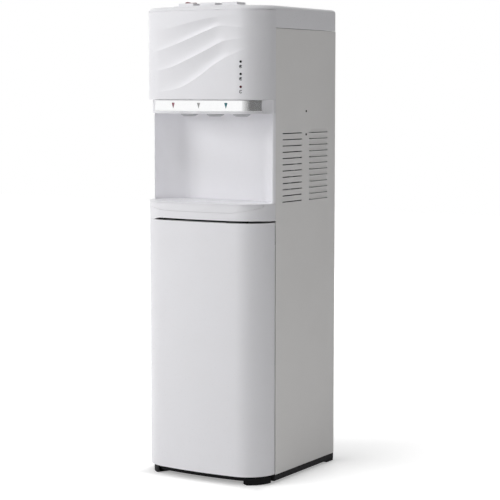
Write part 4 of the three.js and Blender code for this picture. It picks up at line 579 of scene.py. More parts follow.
# Side panels: folded sheet steel with a baked white coat. Each has two columns of twelve louvres, slit
# along the lower edge and pressed outwards in one stroke, and a flange folded in along the rear edge.
sheet = 1 * mm
sheet_bottom = 17.5 * mm
sheet_top = 967 * mm
tray_top = 600 * mm
louvre_rows = 12
louvre_pitch = 13.23 * mm
louvre_length = 82 * mm
louvre_height = 8 * mm
louvre_proud = 2.55 * mm
louvre_slot = 2.1 * mm
louvre_inset = 0.4 * mm
louvre_power = 2.2
louvre_spacing_power = 1.4
louvre_middle_share = 0.3
louvre_angle = 50
louvre_last_share = 1.001
louvre_end = 0.8 * louvre_height
louvre_middle = rear_y - 132.4 * mm
louvre_spread = 113 * mm
louvre_columns = [louvre_middle - louvre_spread / 2, louvre_middle + louvre_spread / 2]
louvre_tops = tray_top + 155.6 * mm - np.arange(louvre_rows) * louvre_pitch
rear_flange = 16 * mm
fold_radius = 1.5 * mm
guard = 0.3 * mm
nearly = 0.02 * mm


def merged(*lists):
    """Sorted values, with those that nearly coincide taken once."""
    values = np.sort(np.concatenate(lists))
    return values[np.concatenate([[True], np.diff(values) > nearly])]


def louvre_levels():
    """Levels of the panel's grid: eleven on each louvre, closer at its lip, and guards above and below."""
    ramp = 1 - (1 - np.linspace(0, 1, 11)) ** louvre_spacing_power
    rows = louvre_tops[:, None] - louvre_height * ramp[None, :]
    slots = louvre_tops - louvre_height - louvre_slot
    ends = [sheet_bottom, sheet_bottom + guard, sheet_top - guard, sheet_top]
    return merged(ends, rows.ravel(), slots, slots - guard, louvre_tops + guard)


def louvre_rise(y, z):
    """How far the sheet is pressed out.

    Down the louvre it grows as a power of the share below its top, and it falls off at both ends."""
    rise = np.zeros(np.broadcast(y, z).shape)
    for column in louvre_columns:
        end = louvre_proud * smooth_step(louvre_length / 2 - np.abs(y - column), 0, louvre_end)
        for top in louvre_tops:
            down = (top - z) / louvre_height
            pressed = end * np.clip(down, 0, 1) ** louvre_power
            rise = np.where((down >= 0) & (down <= louvre_last_share), pressed, rise)
    return rise


def with_holes(points, centres, half, axes):
    """The faces of a grid, less those whose middle lies within half a hole's size of a hole's centre."""
    faces = np.array(grid_faces(*points.shape[:2]))
    middle = points.reshape(-1, 3)[faces].mean(axis=1)[:, None, axes]
    inside = np.all(np.abs(middle - np.array(centres)) < half, axis=-1)
    return faces[~np.any(inside, axis=-1)]


def side_panel(hand):
    """A side panel's sheet: the side's line in plan with its rear fold, at every level, less the slots."""
    ends = np.concatenate([[-guard], np.linspace(0, 1, 9) * louvre_end])
    stretches = [column + sign * (louvre_length / 2 - ends)
                 for column in louvre_columns for sign in (-1, 1)]
    middle_shares = np.linspace(-louvre_middle_share, louvre_middle_share, 5)
    middles = [column + middle_shares * louvre_length for column in louvre_columns]
    straight = merged([corner_y, corner_y + guard, rear_y - fold_radius - guard, rear_y - fold_radius],
                      *stretches, *middles)
    angle = np.linspace(0, math.pi / 2, 5)[1:]
    plan_x = np.concatenate([np.full(len(straight), half_width),
                             half_width - fold_radius + fold_radius * np.cos(angle),
                             [half_width - rear_flange]])
    plan_y = np.concatenate([straight, rear_y - fold_radius + fold_radius * np.sin(angle), [rear_y]])
    levels = louvre_levels()
    rise = louvre_rise(plan_y[:, None], levels[None, :])
    rise[len(straight):] = 0
    x = (plan_x[:, None] + rise) * hand
    points = np.stack(
        [x, np.broadcast_to(plan_y[:, None], x.shape), np.broadcast_to(levels, x.shape)], axis=-1)
    slots = [(column, lip - louvre_slot / 2)
             for column in louvre_columns for lip in louvre_tops - louvre_height]
    kept = with_holes(points, slots, (louvre_length / 2 - louvre_inset, louvre_slot / 2), [1, 2])
    return points, (kept if hand > 0 else kept[:, ::-1]).tolist()


def thicken(piece, title, thickness):
    """Gives a sheet its thickness, inwards from the surface that is drawn."""
    solid = piece.modifiers.new(title, "SOLIDIFY")
    solid.thickness = thickness
    solid.offset = -1


cloud_scale, sheen_scale, coarse_peel_scale, fine_peel_scale = 6, 40, 420, 1500
paint_smooth, paint_rough = 0.38, 0.5


def painted_material(name, colour, shade, orange_peel):
    """A baked coat: two sizes of orange peel in the bump, faint cloudiness, and roughness that wanders."""
    material, tree, shader = new_material(name)
    cloud = remapped(tree, noise(tree, cloud_scale, 3), *wide_span, 0, 1)
    sheen = remapped(tree, noise(tree, sheen_scale, 3), *wide_span, paint_smooth, paint_rough)
    tree.links.new(tinted(tree, cloud, colour, shade), shader.inputs["Base Color"])
    tree.links.new(sheen, shader.inputs["Roughness"])
    coarse = bumped(tree, noise(tree, coarse_peel_scale, 2), orange_peel)
    fine = bumped(tree, noise(tree, fine_peel_scale, 1), orange_peel / 3, coarse)
    tree.links.new(fine, shader.inputs["Normal"])
    return material


white_paint = painted_material(
    "white_baked_coat", colour=(0.84, 0.828, 0.817), shade=(0.825, 0.812, 0.80), orange_peel=0.02 * mm)
for hand, name in ((1, "side_panel_right"), (-1, "side_panel_left")):
    panel = make_piece(name + "_sheet", side_panel(hand), louvre_angle, outwards=False)
    thicken(panel, "sheet", sheet)
    settle(panel, white_paint, "cabinet", "white_paint", name)

# Side screws: two small black pan-head screws in each side panel hold the compressor's shelf bracket. Each
# head is a low dome with a cross recess, and stands on the sheet.
screw_radius = 2.6 * mm
screw_rise = 1.3 * mm
screw_places = ((35 * mm, 793 * mm), (35 * mm, 743 * mm))
cross_half = 1.3 * mm
cross_line = 0.35 * mm
cross_depth = 0.5 * mm
screw_sunk = 0.3 * mm
screw_pole_share = 0.02


def screw_head(origin, normal, steps=32, rings=10):
    """A screw's head about a normal: a quarter ellipse of rings, sunk inside a cross near its middle."""
    normal = np.asarray(normal, float)
    side = np.cross(normal, [0, 0, 1] if abs(normal[2]) < 0.5 else [0, 1, 0])
    across = np.cross(normal, side)
    turn = np.linspace(0, 2 * math.pi, steps, endpoint=False)[None, :]
    share = np.linspace(1, screw_pole_share, rings)[:, None]
    u, v = screw_radius * share * np.cos(turn), screw_radius * share * np.sin(turn)
    lift = screw_rise * np.sqrt(1 - share ** 2) + 0 * turn
    arm = np.minimum(np.abs(u), np.abs(v)) < cross_line
    lift -= cross_depth * (arm & (np.maximum(np.abs(u), np.abs(v)) < cross_half))
    points = np.asarray(origin) + u[..., None] * side + v[..., None] * across + lift[..., None] * normal
    return closed_stack(np.concatenate([points[:1] - screw_sunk * normal, points]))


dark_screw = metal_material(
    "blackened_screw", colour=(0.035, 0.034, 0.034), stain=(0.09, 0.085, 0.08), stain_share=0.5,
    smooth=0.3, rough=0.45, grain=0.004 * mm, metallic=1)
for hand in (-1, 1):
    heads = [screw_head((hand * half_width, *place), (hand, 0, 0)) for place in screw_places]
    screws = make_piece(f"side_screws_{'right' if hand > 0 else 'left'}", joined(*heads))
    settle(screws, dark_screw, "cabinet", "steel")

# Wave panel: the head's white front moulding, 6.5 mm deep. Three valleys are scooped between four crest
# lines that climb to the right, steep over each crest and gentle under the next, and fade out at both ends.
wave_bottom = 818 * mm
wave_top = 1004.7 * mm
wave_depth = 5.8 * mm
wave_lean = 0.66
wave_wall = 6.5 * mm
wave_end_y = corner_y - 0.6 * mm
wave_round = 1 * mm
moulded_angle = 40
wave_rows = 190
wave_start_shares = (-0.85, 0.05)
wave_end_shares = (0.45, 0.38, 0.31)
wave_end_reach_share = 0.12
wave_tail_shares = (0.55, 0.92)
wave_tail_depth_share = 0.22
crest_shares = (
    ((-1, 0.06), (-0.6, 0.09), (-0.2, 0.157), (0.08, 0.278), (0.33, 0.411), (0.55, 0.5),
     (0.84, 0.578), (1, 0.59)),
    ((-1, 0.31), (-0.66, 0.334), (-0.42, 0.37), (-0.12, 0.459), (0.16, 0.553), (0.43, 0.648),
     (0.7, 0.681), (1, 0.68)),
    ((-1, 0.51), (-0.66, 0.555), (-0.4, 0.61), (-0.12, 0.684), (0.16, 0.767), (0.36, 0.82),
     (0.62, 0.81), (1, 0.78)),
    ((-1, 0.75), (-0.4, 0.815), (-0.07, 0.87), (0.16, 0.903), (0.35, 0.922), (0.65, 0.94), (1, 0.94)),
)


def smooth_through(knots, values, at):
    """A curve through knots: on each stretch the cubic that meets both values and both mean slopes."""
    knots, values = np.asarray(knots, float), np.asarray(values, float)
    slopes = np.gradient(values, knots)
    i = np.clip(np.searchsorted(knots, at) - 1, 0, len(knots) - 2)
    width = knots[i + 1] - knots[i]
    t = (at - knots[i]) / width
    return ((2 * t ** 3 - 3 * t ** 2 + 1) * values[i] + (t ** 3 - 2 * t ** 2 + t) * width * slopes[i]
            + (3 * t ** 2 - 2 * t ** 3) * values[i + 1] + (t ** 3 - t ** 2) * width * slopes[i + 1])


def wave_relief(x, z):
    """How deep the waves lie at a place.

    It is a half sine of a power of the share between two crests, times a fade. The fade rises slowly from
    the left, drops to a shallow tail at each wave's own end, and runs out."""
    along = x / half_width
    rise = smooth_step(along, *wave_start_shares)
    tail = wave_tail_depth_share * (1 - smooth_step(along, *wave_tail_shares))
    heights = [wave_bottom + (wave_top - wave_bottom) * smooth_through(*np.transpose(crest), along)
               for crest in crest_shares]
    relief = np.zeros(np.broadcast(x, z).shape)
    for low, high, stop in zip(heights, heights[1:], wave_end_shares):
        up = np.clip((z - low) / (high - low), 0, 1) ** wave_lean
        full = 1 - smooth_step(along, stop - wave_end_reach_share, stop + wave_end_reach_share)
        relief += wave_depth * rise * (tail + (1 - wave_tail_depth_share) * full) * np.sin(math.pi * up)
    return relief


def quarter_round(distance, radius):
    """How far a rounded edge has drawn back at a distance from the edge: a circle's fall."""
    return radius - np.sqrt(np.clip(radius ** 2 - np.clip(radius - distance, 0, radius) ** 2, 0, None))


def wave_sections(place, levels):
    """The panel's closed sections: the waved face with its rounded top and bottom, and a plain back."""
    face = wave_relief(place[:, :1], levels[None, :])
    face = face + quarter_round(wave_top - levels, wave_round)
    face = face + quarter_round(levels - wave_bottom, wave_round)
    outer = np.stack([face, np.broadcast_to(levels, face.shape)], axis=-1)
    back = np.broadcast_to([[wave_wall, wave_top], [wave_wall, wave_bottom]], (len(place), 2, 2))
    return np.concatenate([outer, back], axis=1)


wave_place, wave_outward = front_line(wave_end_y, corner_steps=60, bow_steps=130)
edge_levels = np.linspace(0, 1, 7) ** 2
wave_levels = merged(
    wave_bottom + wave_round * edge_levels, wave_top - wave_round * edge_levels,
    np.linspace(wave_bottom + wave_round, wave_top - wave_round, wave_rows))
wave_panel = make_piece("wave_panel_moulding", closed_stack(
    carried(wave_sections(wave_place, wave_levels), wave_place, wave_outward)), moulded_angle)
settle(wave_panel, white_gloss, "cabinet", "white_plastic", "wave_panel")

# Indicator lights: three lens caps at the right of the wave panel, black where a light is off and dark red
# where it is on, a painted glow that gives no light, with a small printed symbol under each.
light_x = 108.4 * mm
light_levels = {"cooling": 897 * mm, "heating": 871.5 * mm, "power": 845 * mm}
light_radius = 2.6 * mm
light_proud = 0.6 * mm
symbol_drop = 10 * mm
symbol_radius = 3.5 * mm
symbol_line = 1.3 * mm
symbol_lift = 0.06 * mm
symbol_arc = (0.2 * math.pi, 1.8 * math.pi)
symbol_inner_share = 0.6
dome_reach_share = 0.96
dome_start_share = 0.6
symbol_dots = {"cooling": 1.5 * mm, "heating": 1.5 * mm, "power": 0.7 * mm}
light_sunk = 0.4 * mm
lens_pale = 1.6
symbol_sunk = 0.2 * mm


def on_front(across, level, lift):
    """Places on the front's right corner: a width across it from the lights, a level, and a lift off it.

    The width runs on from the lights' heading as an arc of the corner's radius."""
    turn = math.asin((light_x - corner_x) / corner_radius) + across / corner_radius
    place, outward = front_places(turn)
    plan = place + outward * np.asarray(lift)[..., None]
    return np.concatenate([plan, np.broadcast_to(level, turn.shape)[..., None]], axis=-1)


def front_disc(level, radius, lift, steps=24, rings=5):
    """A low dome on the front: rings whose radius falls as a cosine while their lift, which starts at a
    share of the whole, grows as a sine."""
    turn = np.linspace(0, 2 * math.pi, steps, endpoint=False)[None, :]
    rise = np.linspace(0, math.pi / 2 * dome_reach_share, rings)[:, None]
    reach = np.vstack([[[radius]], radius * np.cos(rise)])
    swell = dome_start_share + (1 - dome_start_share) * np.sin(rise)
    lifts = np.vstack([[[-light_sunk]], lift * swell]) + 0 * turn
    return closed_stack(on_front(reach * np.cos(turn), level + reach * np.sin(turn), lifts))


def front_ring(level, radius, line, lift, first=0.0, last=2 * math.pi, steps=24):
    """A thin printed arc on the front, from one turn to another, as a closed flat strip."""
    turn = np.linspace(first, last, steps)[:, None]
    reach = np.array([[radius - line, radius, radius, radius - line]])
    lifts = np.array([[-symbol_sunk, -symbol_sunk, lift, lift]]) + 0 * turn
    return closed_stack(on_front(reach * np.cos(turn), level + reach * np.sin(turn), lifts))


def lens_material(name, colour):
    """A lens cap's smooth plastic, with faint patches in which its own colour is paler."""
    return moulded_material(
        name, colour=colour, dust=tuple(lens_pale * part for part in colour), dust_share=0.2, smooth=0.08,
        rough=0.16, grain=0.001 * mm, swell=0.005 * mm, Specular_IOR_Level=0.3)


dark_lens = lens_material("dark_lens", colour=(0.012, 0.012, 0.014))
red_lens_painted_glow = lens_material("red_lens_painted_glow", colour=(0.085, 0.004, 0.012))
grey_ink = moulded_material(
    "grey_ink", colour=(0.035, 0.036, 0.04), dust=(0.06, 0.06, 0.06), dust_share=0.2, smooth=0.4,
    rough=0.5, grain=0.004 * mm, swell=0.005 * mm)
for name, level in light_levels.items():
    lens = make_piece(f"light_{name}", front_disc(level, light_radius, light_proud))
    settle(lens, red_lens_painted_glow if name == "power" else dark_lens, "cabinet", "clear_plastic")
    low = level - symbol_drop
    parts = [front_ring(low, symbol_radius, symbol_line, symbol_lift, *symbol_arc)]
    parts.append(front_disc(low, symbol_dots[name], symbol_lift))
    if name != "power":
        parts.append(
            front_ring(low, symbol_inner_share * symbol_radius, symbol_line, symbol_lift, 0, math.pi))
    settle(make_piece(f"symbol_{name}", joined(*parts)), grey_ink, "cabinet", "white_plastic")

# Top cover: a white moulding that rolls down to the front and hangs over the side panels and the back
# with a skirt. An opening in its middle lets the wells of the button console through.
cover_top = 1014.5 * mm
cover_edge = 1005 * mm
cover_skirt = 968 * mm
cover_wall = 2.5 * mm
cover_rear_round = 3 * mm
cover_side_steps, cover_rear_steps = 48, 41
hair = 0.05 * mm
never_zero = 1e-9
roll_front = 30 * mm
roll_side = 9 * mm
roll_drop_front = 9.5 * mm
roll_drop_side = 8 * mm
button_y = -rear_y + 65 * mm
cover_hole = (81 * mm, 19.2 * mm)


def cover_plan(inset):
    """The cover's plan moved in by an inset: the front line, the sides, and two round rear corners.

    Gives the places, and how much each looks to the front."""
    place, outward = front_line(corner_y, corner_steps=24, bow_steps=40)
    radius = cover_rear_round - np.minimum(inset, cover_rear_round)
    reach = np.maximum(inset - cover_rear_round, 0)
    angle = np.linspace(0, math.pi / 2, 7)[:, None]
    centre = np.array([half_width - cover_rear_round, rear_y - cover_rear_round]) - reach
    corner = centre + radius * np.hstack([np.cos(angle), np.sin(angle)])
    side_y = np.linspace(corner_y + hair, corner[0, 1], cover_side_steps + 1)[:-1]
    side = np.column_stack([np.full_like(side_y, half_width - inset), side_y])
    rear_x = np.linspace(corner[-1, 0], -corner[-1, 0], cover_rear_steps + 1)[1:-1]
    rear = np.column_stack([rear_x, np.full_like(rear_x, rear_y - inset)])
    right = np.vstack([side, corner])
    behind = np.vstack([right, rear, right[::-1] * [-1, 1]])
    return np.vstack([place - outward * inset, behind]), \
        np.concatenate([np.abs(outward[:, 1]), np.zeros(len(behind))])


def cover_rings(inset, drop, steps=10):
    """The cover's rings from its lower edge over the roll to its opening.

    The roll falls as a quarter ellipse does, deeper and wider at the front than at the sides."""
    outline, front = cover_plan(inset)
    bottom = np.where(outline[:, 1] < corner_y + hair / 2, cover_edge, cover_skirt)
    rings = [np.column_stack([outline, bottom])]
    depth = roll_drop_side + (roll_drop_front - roll_drop_side) * front
    for share in 1 - np.cos(np.linspace(0, math.pi / 2, steps + 1)):
        fall = math.sqrt(1 - (1 - share) ** 2) - 1
        side, ahead = cover_plan(inset + roll_side * share)[0], cover_plan(inset + roll_front * share)[0]
        level = np.maximum(cover_top - drop + depth * fall, bottom)
        rings.append(np.column_stack([side + (ahead - side) * front[:, None], level]))
    direction = rings[-1][:, :2] - [0, button_y]
    scale = np.min(np.array(cover_hole) / np.maximum(np.abs(direction), never_zero), axis=1)
    hole = [0, button_y] + direction * scale[:, None]
    rings.append(np.column_stack([hole, np.full(len(hole), cover_top - drop)]))
    return np.stack(rings)


cover_grid = np.concatenate([cover_rings(0, 0), cover_rings(cover_wall, cover_wall)[::-1]])
cover_faces = grid_faces(*cover_grid.shape[:2], loop_rows=True, loop_columns=True)
top_cover = make_piece("top_cover_moulding", (cover_grid.reshape(-1, 3), cover_faces), moulded_angle)
settle(top_cover, white_gloss, "cabinet", "white_plastic", "top_cover")

# Button console: a low white plate on the cover with three deep wells that hang through it. Each well has
# a floor, on which a button's spring stands.
console_bottom = 1014.8 * mm
console_top = 1017 * mm
console_half = (86 * mm, 21 * mm)
console_round = 6 * mm
button_pitch = 55 * mm
button_half = (19 * mm, 17 * mm)
well_gap = 0.8 * mm
well_wall = 1.2 * mm
well_corner, well_outer_corner = 2.5 * mm, 3 * mm
well_floor = 998.8 * mm
well_floor_wall = 2.5 * mm
console_edge = 0.6 * mm
console_edge_low = 0.3 * console_edge
tile_corner = 0.01 * mm


def tile_outline(middle, left, right, radii, shrink):
    """One third of the console in plan, drawn in by a length at its front, its back and its round end."""
    low = middle + left + (shrink if radii[0] > tile_corner else 0)
    high = middle + right - (shrink if radii[1] > tile_corner else 0)
    front, rear = button_y - console_half[1] + shrink, button_y + console_half[1] - shrink
    return rounded([[low, front], [high, front], [high, rear], [low, rear]],
                   [radii[0], radii[1], radii[1], radii[0]], steps=8)


def well_outline(middle, grow):
    """A well in plan, moved out by a length: the button's outline with the gap round it."""
    half_x, half_y = (half + well_gap + grow for half in button_half)
    radius = well_corner if grow < well_wall else well_outer_corner
    return box_outline(middle - half_x, middle + half_x, button_y - half_y, button_y + half_y, radius,
                       steps=8)


def well_tile(middle, left, right, *radii):
    """One third of the console: rings from under the plate, over its top and down into the well.

    Every ring is a rounded rectangle with the same number of points, so that they join one to one."""
    outside = well_outline(middle, well_wall)
    edges = [tile_outline(middle, left, right, radii, shrink)
             for shrink in (0, 0, console_edge_low, console_edge)]
    lips = [well_outline(middle, grow) for grow in (console_edge, console_edge_low, 0, 0)]
    low, high = console_top - console_edge, console_top - console_edge_low
    return closed_stack(rings_at(
        [outside, outside, outside, *edges, *lips],
        [well_floor, console_bottom, console_bottom, console_bottom, low, high, console_top,
         console_top, high, low, well_floor + well_floor_wall]))


console_end = console_half[0] - button_pitch
console = make_piece("button_console_moulding", joined(
    well_tile(-button_pitch, -console_end, button_pitch / 2, console_round, tile_corner),
    well_tile(0, -button_pitch / 2, button_pitch / 2, tile_corner, tile_corner),
    well_tile(button_pitch, -button_pitch / 2, console_end, tile_corner, console_round)), moulded_angle)
settle(console, white_gloss, "cabinet", "white_plastic", "button_console")

# Push buttons: three white caps with dished tops, each moulded in one with the rod that opens its tap. The
# hot one has a groove for the red child lock across its middle.
cap_bottom_z = 1015.3 * mm
cap_top_z = 1022.8 * mm
cap_edge = 1.4 * mm
cap_dish = 0.9 * mm
rod_radius = 3 * mm
rod_bottom = 817.2 * mm
tap_y = -rear_y + 78 * mm
tap_pitch = 67 * mm
lock_left, lock_right = -65.9 * mm, -39.9 * mm
lock_half = 3.5 * mm
lock_groove = 3 * mm
lock_travel = 5 * mm
running = 0.5 * mm
lock_room = (lock_left - lock_travel - running, lock_right + running)
lock_room_half = lock_half + running
rod_into_cap = 2 * mm
rod_round = 0.4 * mm
taps = (("hot", -1), ("room", 0), ("cold", 1))


def button_lines(half, breaks):
    """Places across a button: closer at both rims, even between them, and a close pair at each break."""
    rim = cap_edge * (1 - (1 - np.linspace(0, 1, 7)) ** 2)
    pairs = [edge + step for edge in breaks for step in (-hair, hair) if abs(edge + step) < half]
    return merged(-half + rim, half - rim, np.linspace(-half + cap_edge, half - cap_edge, 21), pairs)


def cap_surface(middle, grooved):
    """A button's top on a grid: it is dished as a paraboloid, rounded over its edges, and stepped down
    inside the groove."""
    half_x, half_y = button_half
    ends = [edge - middle for edge in lock_room]
    sides = [-lock_room_half, lock_room_half]
    x, y = np.meshgrid(button_lines(half_x, ends if grooved else []),
                       button_lines(half_y, sides if grooved else []), indexing="ij")
    dish = cap_dish * (1 - (x / half_x) ** 2) * (1 - (y / half_y) ** 2)
    fall = np.maximum(
        quarter_round(half_x - np.abs(x), cap_edge), quarter_round(half_y - np.abs(y), cap_edge))
    inside = grooved & (x > ends[0]) & (x < ends[1]) & (np.abs(y) < lock_room_half)
    level = np.where(inside, cap_top_z - lock_groove, cap_top_z - dish - fall)
    return np.stack([x + middle, y + button_y, level], axis=-1)


def button_shell(middle, rod_x, grooved):
    """A cap as a closed shell: its dished top, straight sides and a flat underside, with its round rod."""
    top = cap_surface(middle, grooved)
    under = top.copy()
    under[..., 2] = cap_bottom_z
    index = np.arange(top.size // 3).reshape(top.shape[:2])
    faces = np.array(grid_faces(*index.shape))
    rim = np.concatenate([index[0], index[1:, -1], index[-1, -2::-1], index[-2:0:-1, 0]])
    following = np.roll(rim, -1)
    sides = np.stack([rim, following, following + index.size, rim + index.size], axis=-1)
    faces = np.concatenate([faces, faces[:, ::-1] + index.size, sides]).tolist()
    angle = np.linspace(0, 2 * math.pi, 24, endpoint=False)
    circle = np.stack([rod_x + rod_radius * np.cos(angle), tap_y + rod_radius * np.sin(angle)], axis=-1)
    rod = plate(circle, rod_bottom, cap_bottom_z + rod_into_cap, rod_round)
    return joined((np.concatenate([top.reshape(-1, 3), under.reshape(-1, 3)]), faces), rod)


for name, side in taps:
    shell = button_shell(side * button_pitch, side * tap_pitch, side < 0)
    button = make_piece(f"button_{name}_moulding", shell, moulded_angle)
    settle(button, white_gloss, f"{name}_button", "white_plastic", f"button_{name}")

# Button springs: three coils of steel wire, each standing on the floor of a well under a button. A spring is
# pressed together as its button goes down.
spring_radius = 7 * mm
spring_wire = 0.6 * mm
spring_turns = 4
spring_turn_steps, spring_wire_steps = 24, 10


def coil(x, y, low, high):
    """A coil: the wire's middle goes round a circle while it climbs evenly, and the wire's own circle
    stands on the line from the axis."""
    turn = np.linspace(0, 2 * math.pi * spring_turns, spring_turn_steps * spring_turns + 1)[:, None]
    around = np.linspace(0, 2 * math.pi, spring_wire_steps, endpoint=False)[None, :]
    reach = spring_radius + spring_wire * np.cos(around)
    climb = np.linspace(low + spring_wire, high - spring_wire, len(turn))[:, None]
    return closed_stack(np.stack([x + reach * np.cos(turn), y + reach * np.sin(turn),
                                  climb + spring_wire * np.sin(around)], axis=-1))


for name, side in taps:
    low, high = (corner[2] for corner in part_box(f"button_spring_{name}"))
    spring = make_piece(f"button_coil_{name}", coil(side * button_pitch, button_y, low, high))
    settle(spring, steel, "cabinet", "steel", f"button_spring_{name}")
    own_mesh(spring)

# Child lock: a red slide in the hot button's groove, with a rounded knob for the finger tip. It has to be
# pushed to the left before the button goes down.
knob_length = 10 * mm
knob_rise = 1.8 * mm
clearance = 0.3 * mm
lock_bottom = cap_top_z - lock_groove + clearance
lock_top = cap_top_z + 1.6 * mm
lock_edge = 0.3 * mm
lock_end_shares = ((-1, 0.5), (-0.93, 0.15), (-0.8, 0), (0.8, 0), (0.93, 0.15), (1, 0.5))


def lock_shell():
    """The lock's section in width and height, a low bar with a half round knob, run across its groove.

    At its ends it shrinks by shares of a millimetre, at shares of its half width."""
    angle = np.linspace(0, math.pi, 17)
    knob = np.column_stack([lock_left + knob_length / 2 * (1 + np.cos(angle)),
                            lock_top + knob_rise * np.sin(angle)])
    section = np.vstack([[lock_left, lock_bottom], [lock_right, lock_bottom],
                         [lock_right, lock_top - lock_edge], [lock_right - lock_edge, lock_top], knob])
    return closed_stack(np.stack([
        np.insert(shrunk(section, shrink_share * mm), 1, button_y + lock_half * share, axis=1)
        for share, shrink_share in lock_end_shares]))


red_plastic = moulded_material(
    "red_slide_plastic", colour=(0.19, 0.016, 0.032), dust=(0.30, 0.16, 0.15), dust_share=0.12,
    smooth=0.28, rough=0.4, grain=0.01 * mm, swell=0.03 * mm)
lock = make_piece("child_lock_slide", lock_shell())
settle(lock, red_plastic, "lock", "red_plastic", "child_lock")

# Nose frame: the white moulding under the wave panel that holds the bright band. It stands almost 13 mm
# behind the casing's front, and a concave blend at each end leads back out to the sides.
nose_inset = 12.7 * mm
band_end_y = corner_y - 29.8 * mm
nose_bottom = 790.8 * mm
nose_top = 817.7 * mm
band_bottom = 794 * mm
band_top = 817 * mm
band_room = 2.6 * mm
nose_wall = 2.5 * mm
cheek_radius = 8 * mm
seam_y = corner_y - 0.6 * mm


def nose_line(blend_steps=14):
    """The nose's plan from left to right: the front line at its inset, then a parabola at each end that
    bends in and out again to the cheek, and a short straight line to the side."""
    place, outward = front_line(band_end_y, corner_steps=20, bow_steps=40)
    front = place - nose_inset * outward
    start = front[-1]
    tip_y = seam_y - cheek_radius - clearance
    tip = np.array([corner_x + math.sqrt(corner_radius ** 2 - (corner_y - tip_y) ** 2), tip_y])
    bend = (start + tip) / 2 + np.array([-cheek_radius, cheek_radius]) / 2
    share = np.linspace(0, 1, blend_steps + 1)[1:, None]
    blend = (1 - share) ** 2 * start + 2 * share * (1 - share) * bend + share ** 2 * tip
    right = np.vstack([blend, [half_width - hair, seam_y]])
    line = np.vstack([right[::-1] * [-1, 1], front, right])
    along = np.gradient(line, axis=0)
    along /= np.linalg.norm(along, axis=1, keepdims=True)
    return line, np.stack([along[:, 1], -along[:, 0]], axis=-1), len(right)


nose_place, nose_outward, blend_count = nose_line()
in_band = np.zeros(len(nose_place), bool)
in_band[blend_count:-blend_count] = True
recess = np.where(in_band, band_room, nearly)
nose_back = band_room + nose_wall
nose_corners = changing_section(
    (0, nose_bottom), (0, band_bottom - clearance), (recess, band_bottom - clearance + hair),
    (recess, nose_top), (nose_back, nose_top), (nose_back, nose_bottom))
nose = make_piece(
    "nose_frame_moulding", closed_stack(carried(nose_corners, nose_place, nose_outward)), moulded_angle)
settle(nose, white_gloss, "cabinet", "white_plastic", "nose_frame")

# Tap band: a bright plated strip, two millimetres thick, that clips into the nose frame and bends round
# both corners. It carries three small printed triangles, one over each spout.
band_inset = 13 * mm
band_wall = 2 * mm
band_gap = 1.2 * mm
band_round = 0.4 * mm
band_profile = wall_profile(band_inset, band_inset + band_wall, band_bottom, band_top, band_round)
bright_band = metal_material(
    "bright_plated_band", colour=(0.96, 0.965, 0.97), stain=(0.92, 0.92, 0.92), stain_share=0.2,
    smooth=0.08, rough=0.14, grain=0.002 * mm, metallic=1)
band_place, band_outward = front_line(band_end_y - band_gap, corner_steps=30, bow_steps=60)
band = make_piece("tap_band_strip", run_along(band_profile, band_place, band_outward, band_round))
settle(band, bright_band, "cabinet", "bright_band", "tap_band")

mark_bottom = 799 * mm
mark_top = 811.5 * mm
mark_half = 4 * mm
mark_corner = 0.9 * mm
mark_rise = 0.12 * mm
mark_sunk = 0.3 * mm
mark_colours = {"hot": (0.26, 0.07, 0.10), "room": (0.43, 0.43, 0.43), "cold": (0.025, 0.16, 0.19)}
for name, side in taps:
    middle = side * tap_pitch
    triangle = rounded([[middle - mark_half, mark_top], [middle + mark_half, mark_top],
                        [middle, mark_bottom]], mark_corner, steps=5)
    depth = bow_centre - np.sqrt((bow_radius - band_inset) ** 2 - triangle[:, 0] ** 2)
    rings = np.stack([np.insert(triangle, 1, depth + lift, axis=1) for lift in (mark_sunk, -mark_rise)])
    ink = moulded_material(
        f"printed_mark_{name}", colour=mark_colours[name], dust=mark_colours[name], dust_share=0.0,
        smooth=0.3, rough=0.4, grain=0.004 * mm, swell=0.01 * mm)
    settle(make_piece(f"band_mark_{name}", closed_stack(rings)), ink, "cabinet", "bright_band")

# Spouts: three white mouldings under the head, each a shallow cone with a nozzle bore, whose stem goes up
# through the niche's ceiling into its tap valve.
niche_ceiling = 788.5 * mm
ceiling_top = 790.5 * mm
spout_under = niche_ceiling - clearance


def turned_shell(profile, x, y, steps=48):
    """A closed profile of radii and heights turned about an upright axis; the ends on the axis close it."""
    profile = np.asarray(profile, float)
    angle = np.linspace(0, 2 * math.pi, steps, endpoint=False)[:, None]
    radius, height = profile[:, 0][None, :], profile[:, 1][None, :]
    points = np.stack([x + radius * np.cos(angle), y + radius * np.sin(angle),
                       np.broadcast_to(height, (steps, len(profile)))], axis=-1)
    return points, grid_faces(steps, len(profile), loop_rows=True)


# The spouts are white plastic: their grey is painted shade for the shadow under the head.
spout_painted_shade_grey = moulded_material(
    "white_plastic_painted_shade", colour=(0.50, 0.50, 0.52), dust=(0.46, 0.45, 0.44), dust_share=0.15,
    smooth=0.3, rough=0.4, grain=0.004 * mm, swell=0.02 * mm)
spout_profile = mm * np.array([
    (0, 5.5), (4.0, 5.5), (4.5, 5.2), (4.5, -6.0), (4.9, -6.5), (12.2, -6.5), (12.8, -6.2),
    (18.6, -2.9), (19.0, -2.4), (19.0, -0.4), (18.6, 0), (8, 0), (8, 12), (0, 12)])
for name, side in taps:
    spout = make_piece(f"spout_{name}_moulding", turned_shell(
        spout_profile + [0, spout_under], side * tap_pitch, tap_y))
    settle(spout, spout_painted_shade_grey, "cabinet", "white_plastic", f"spout_{name}")

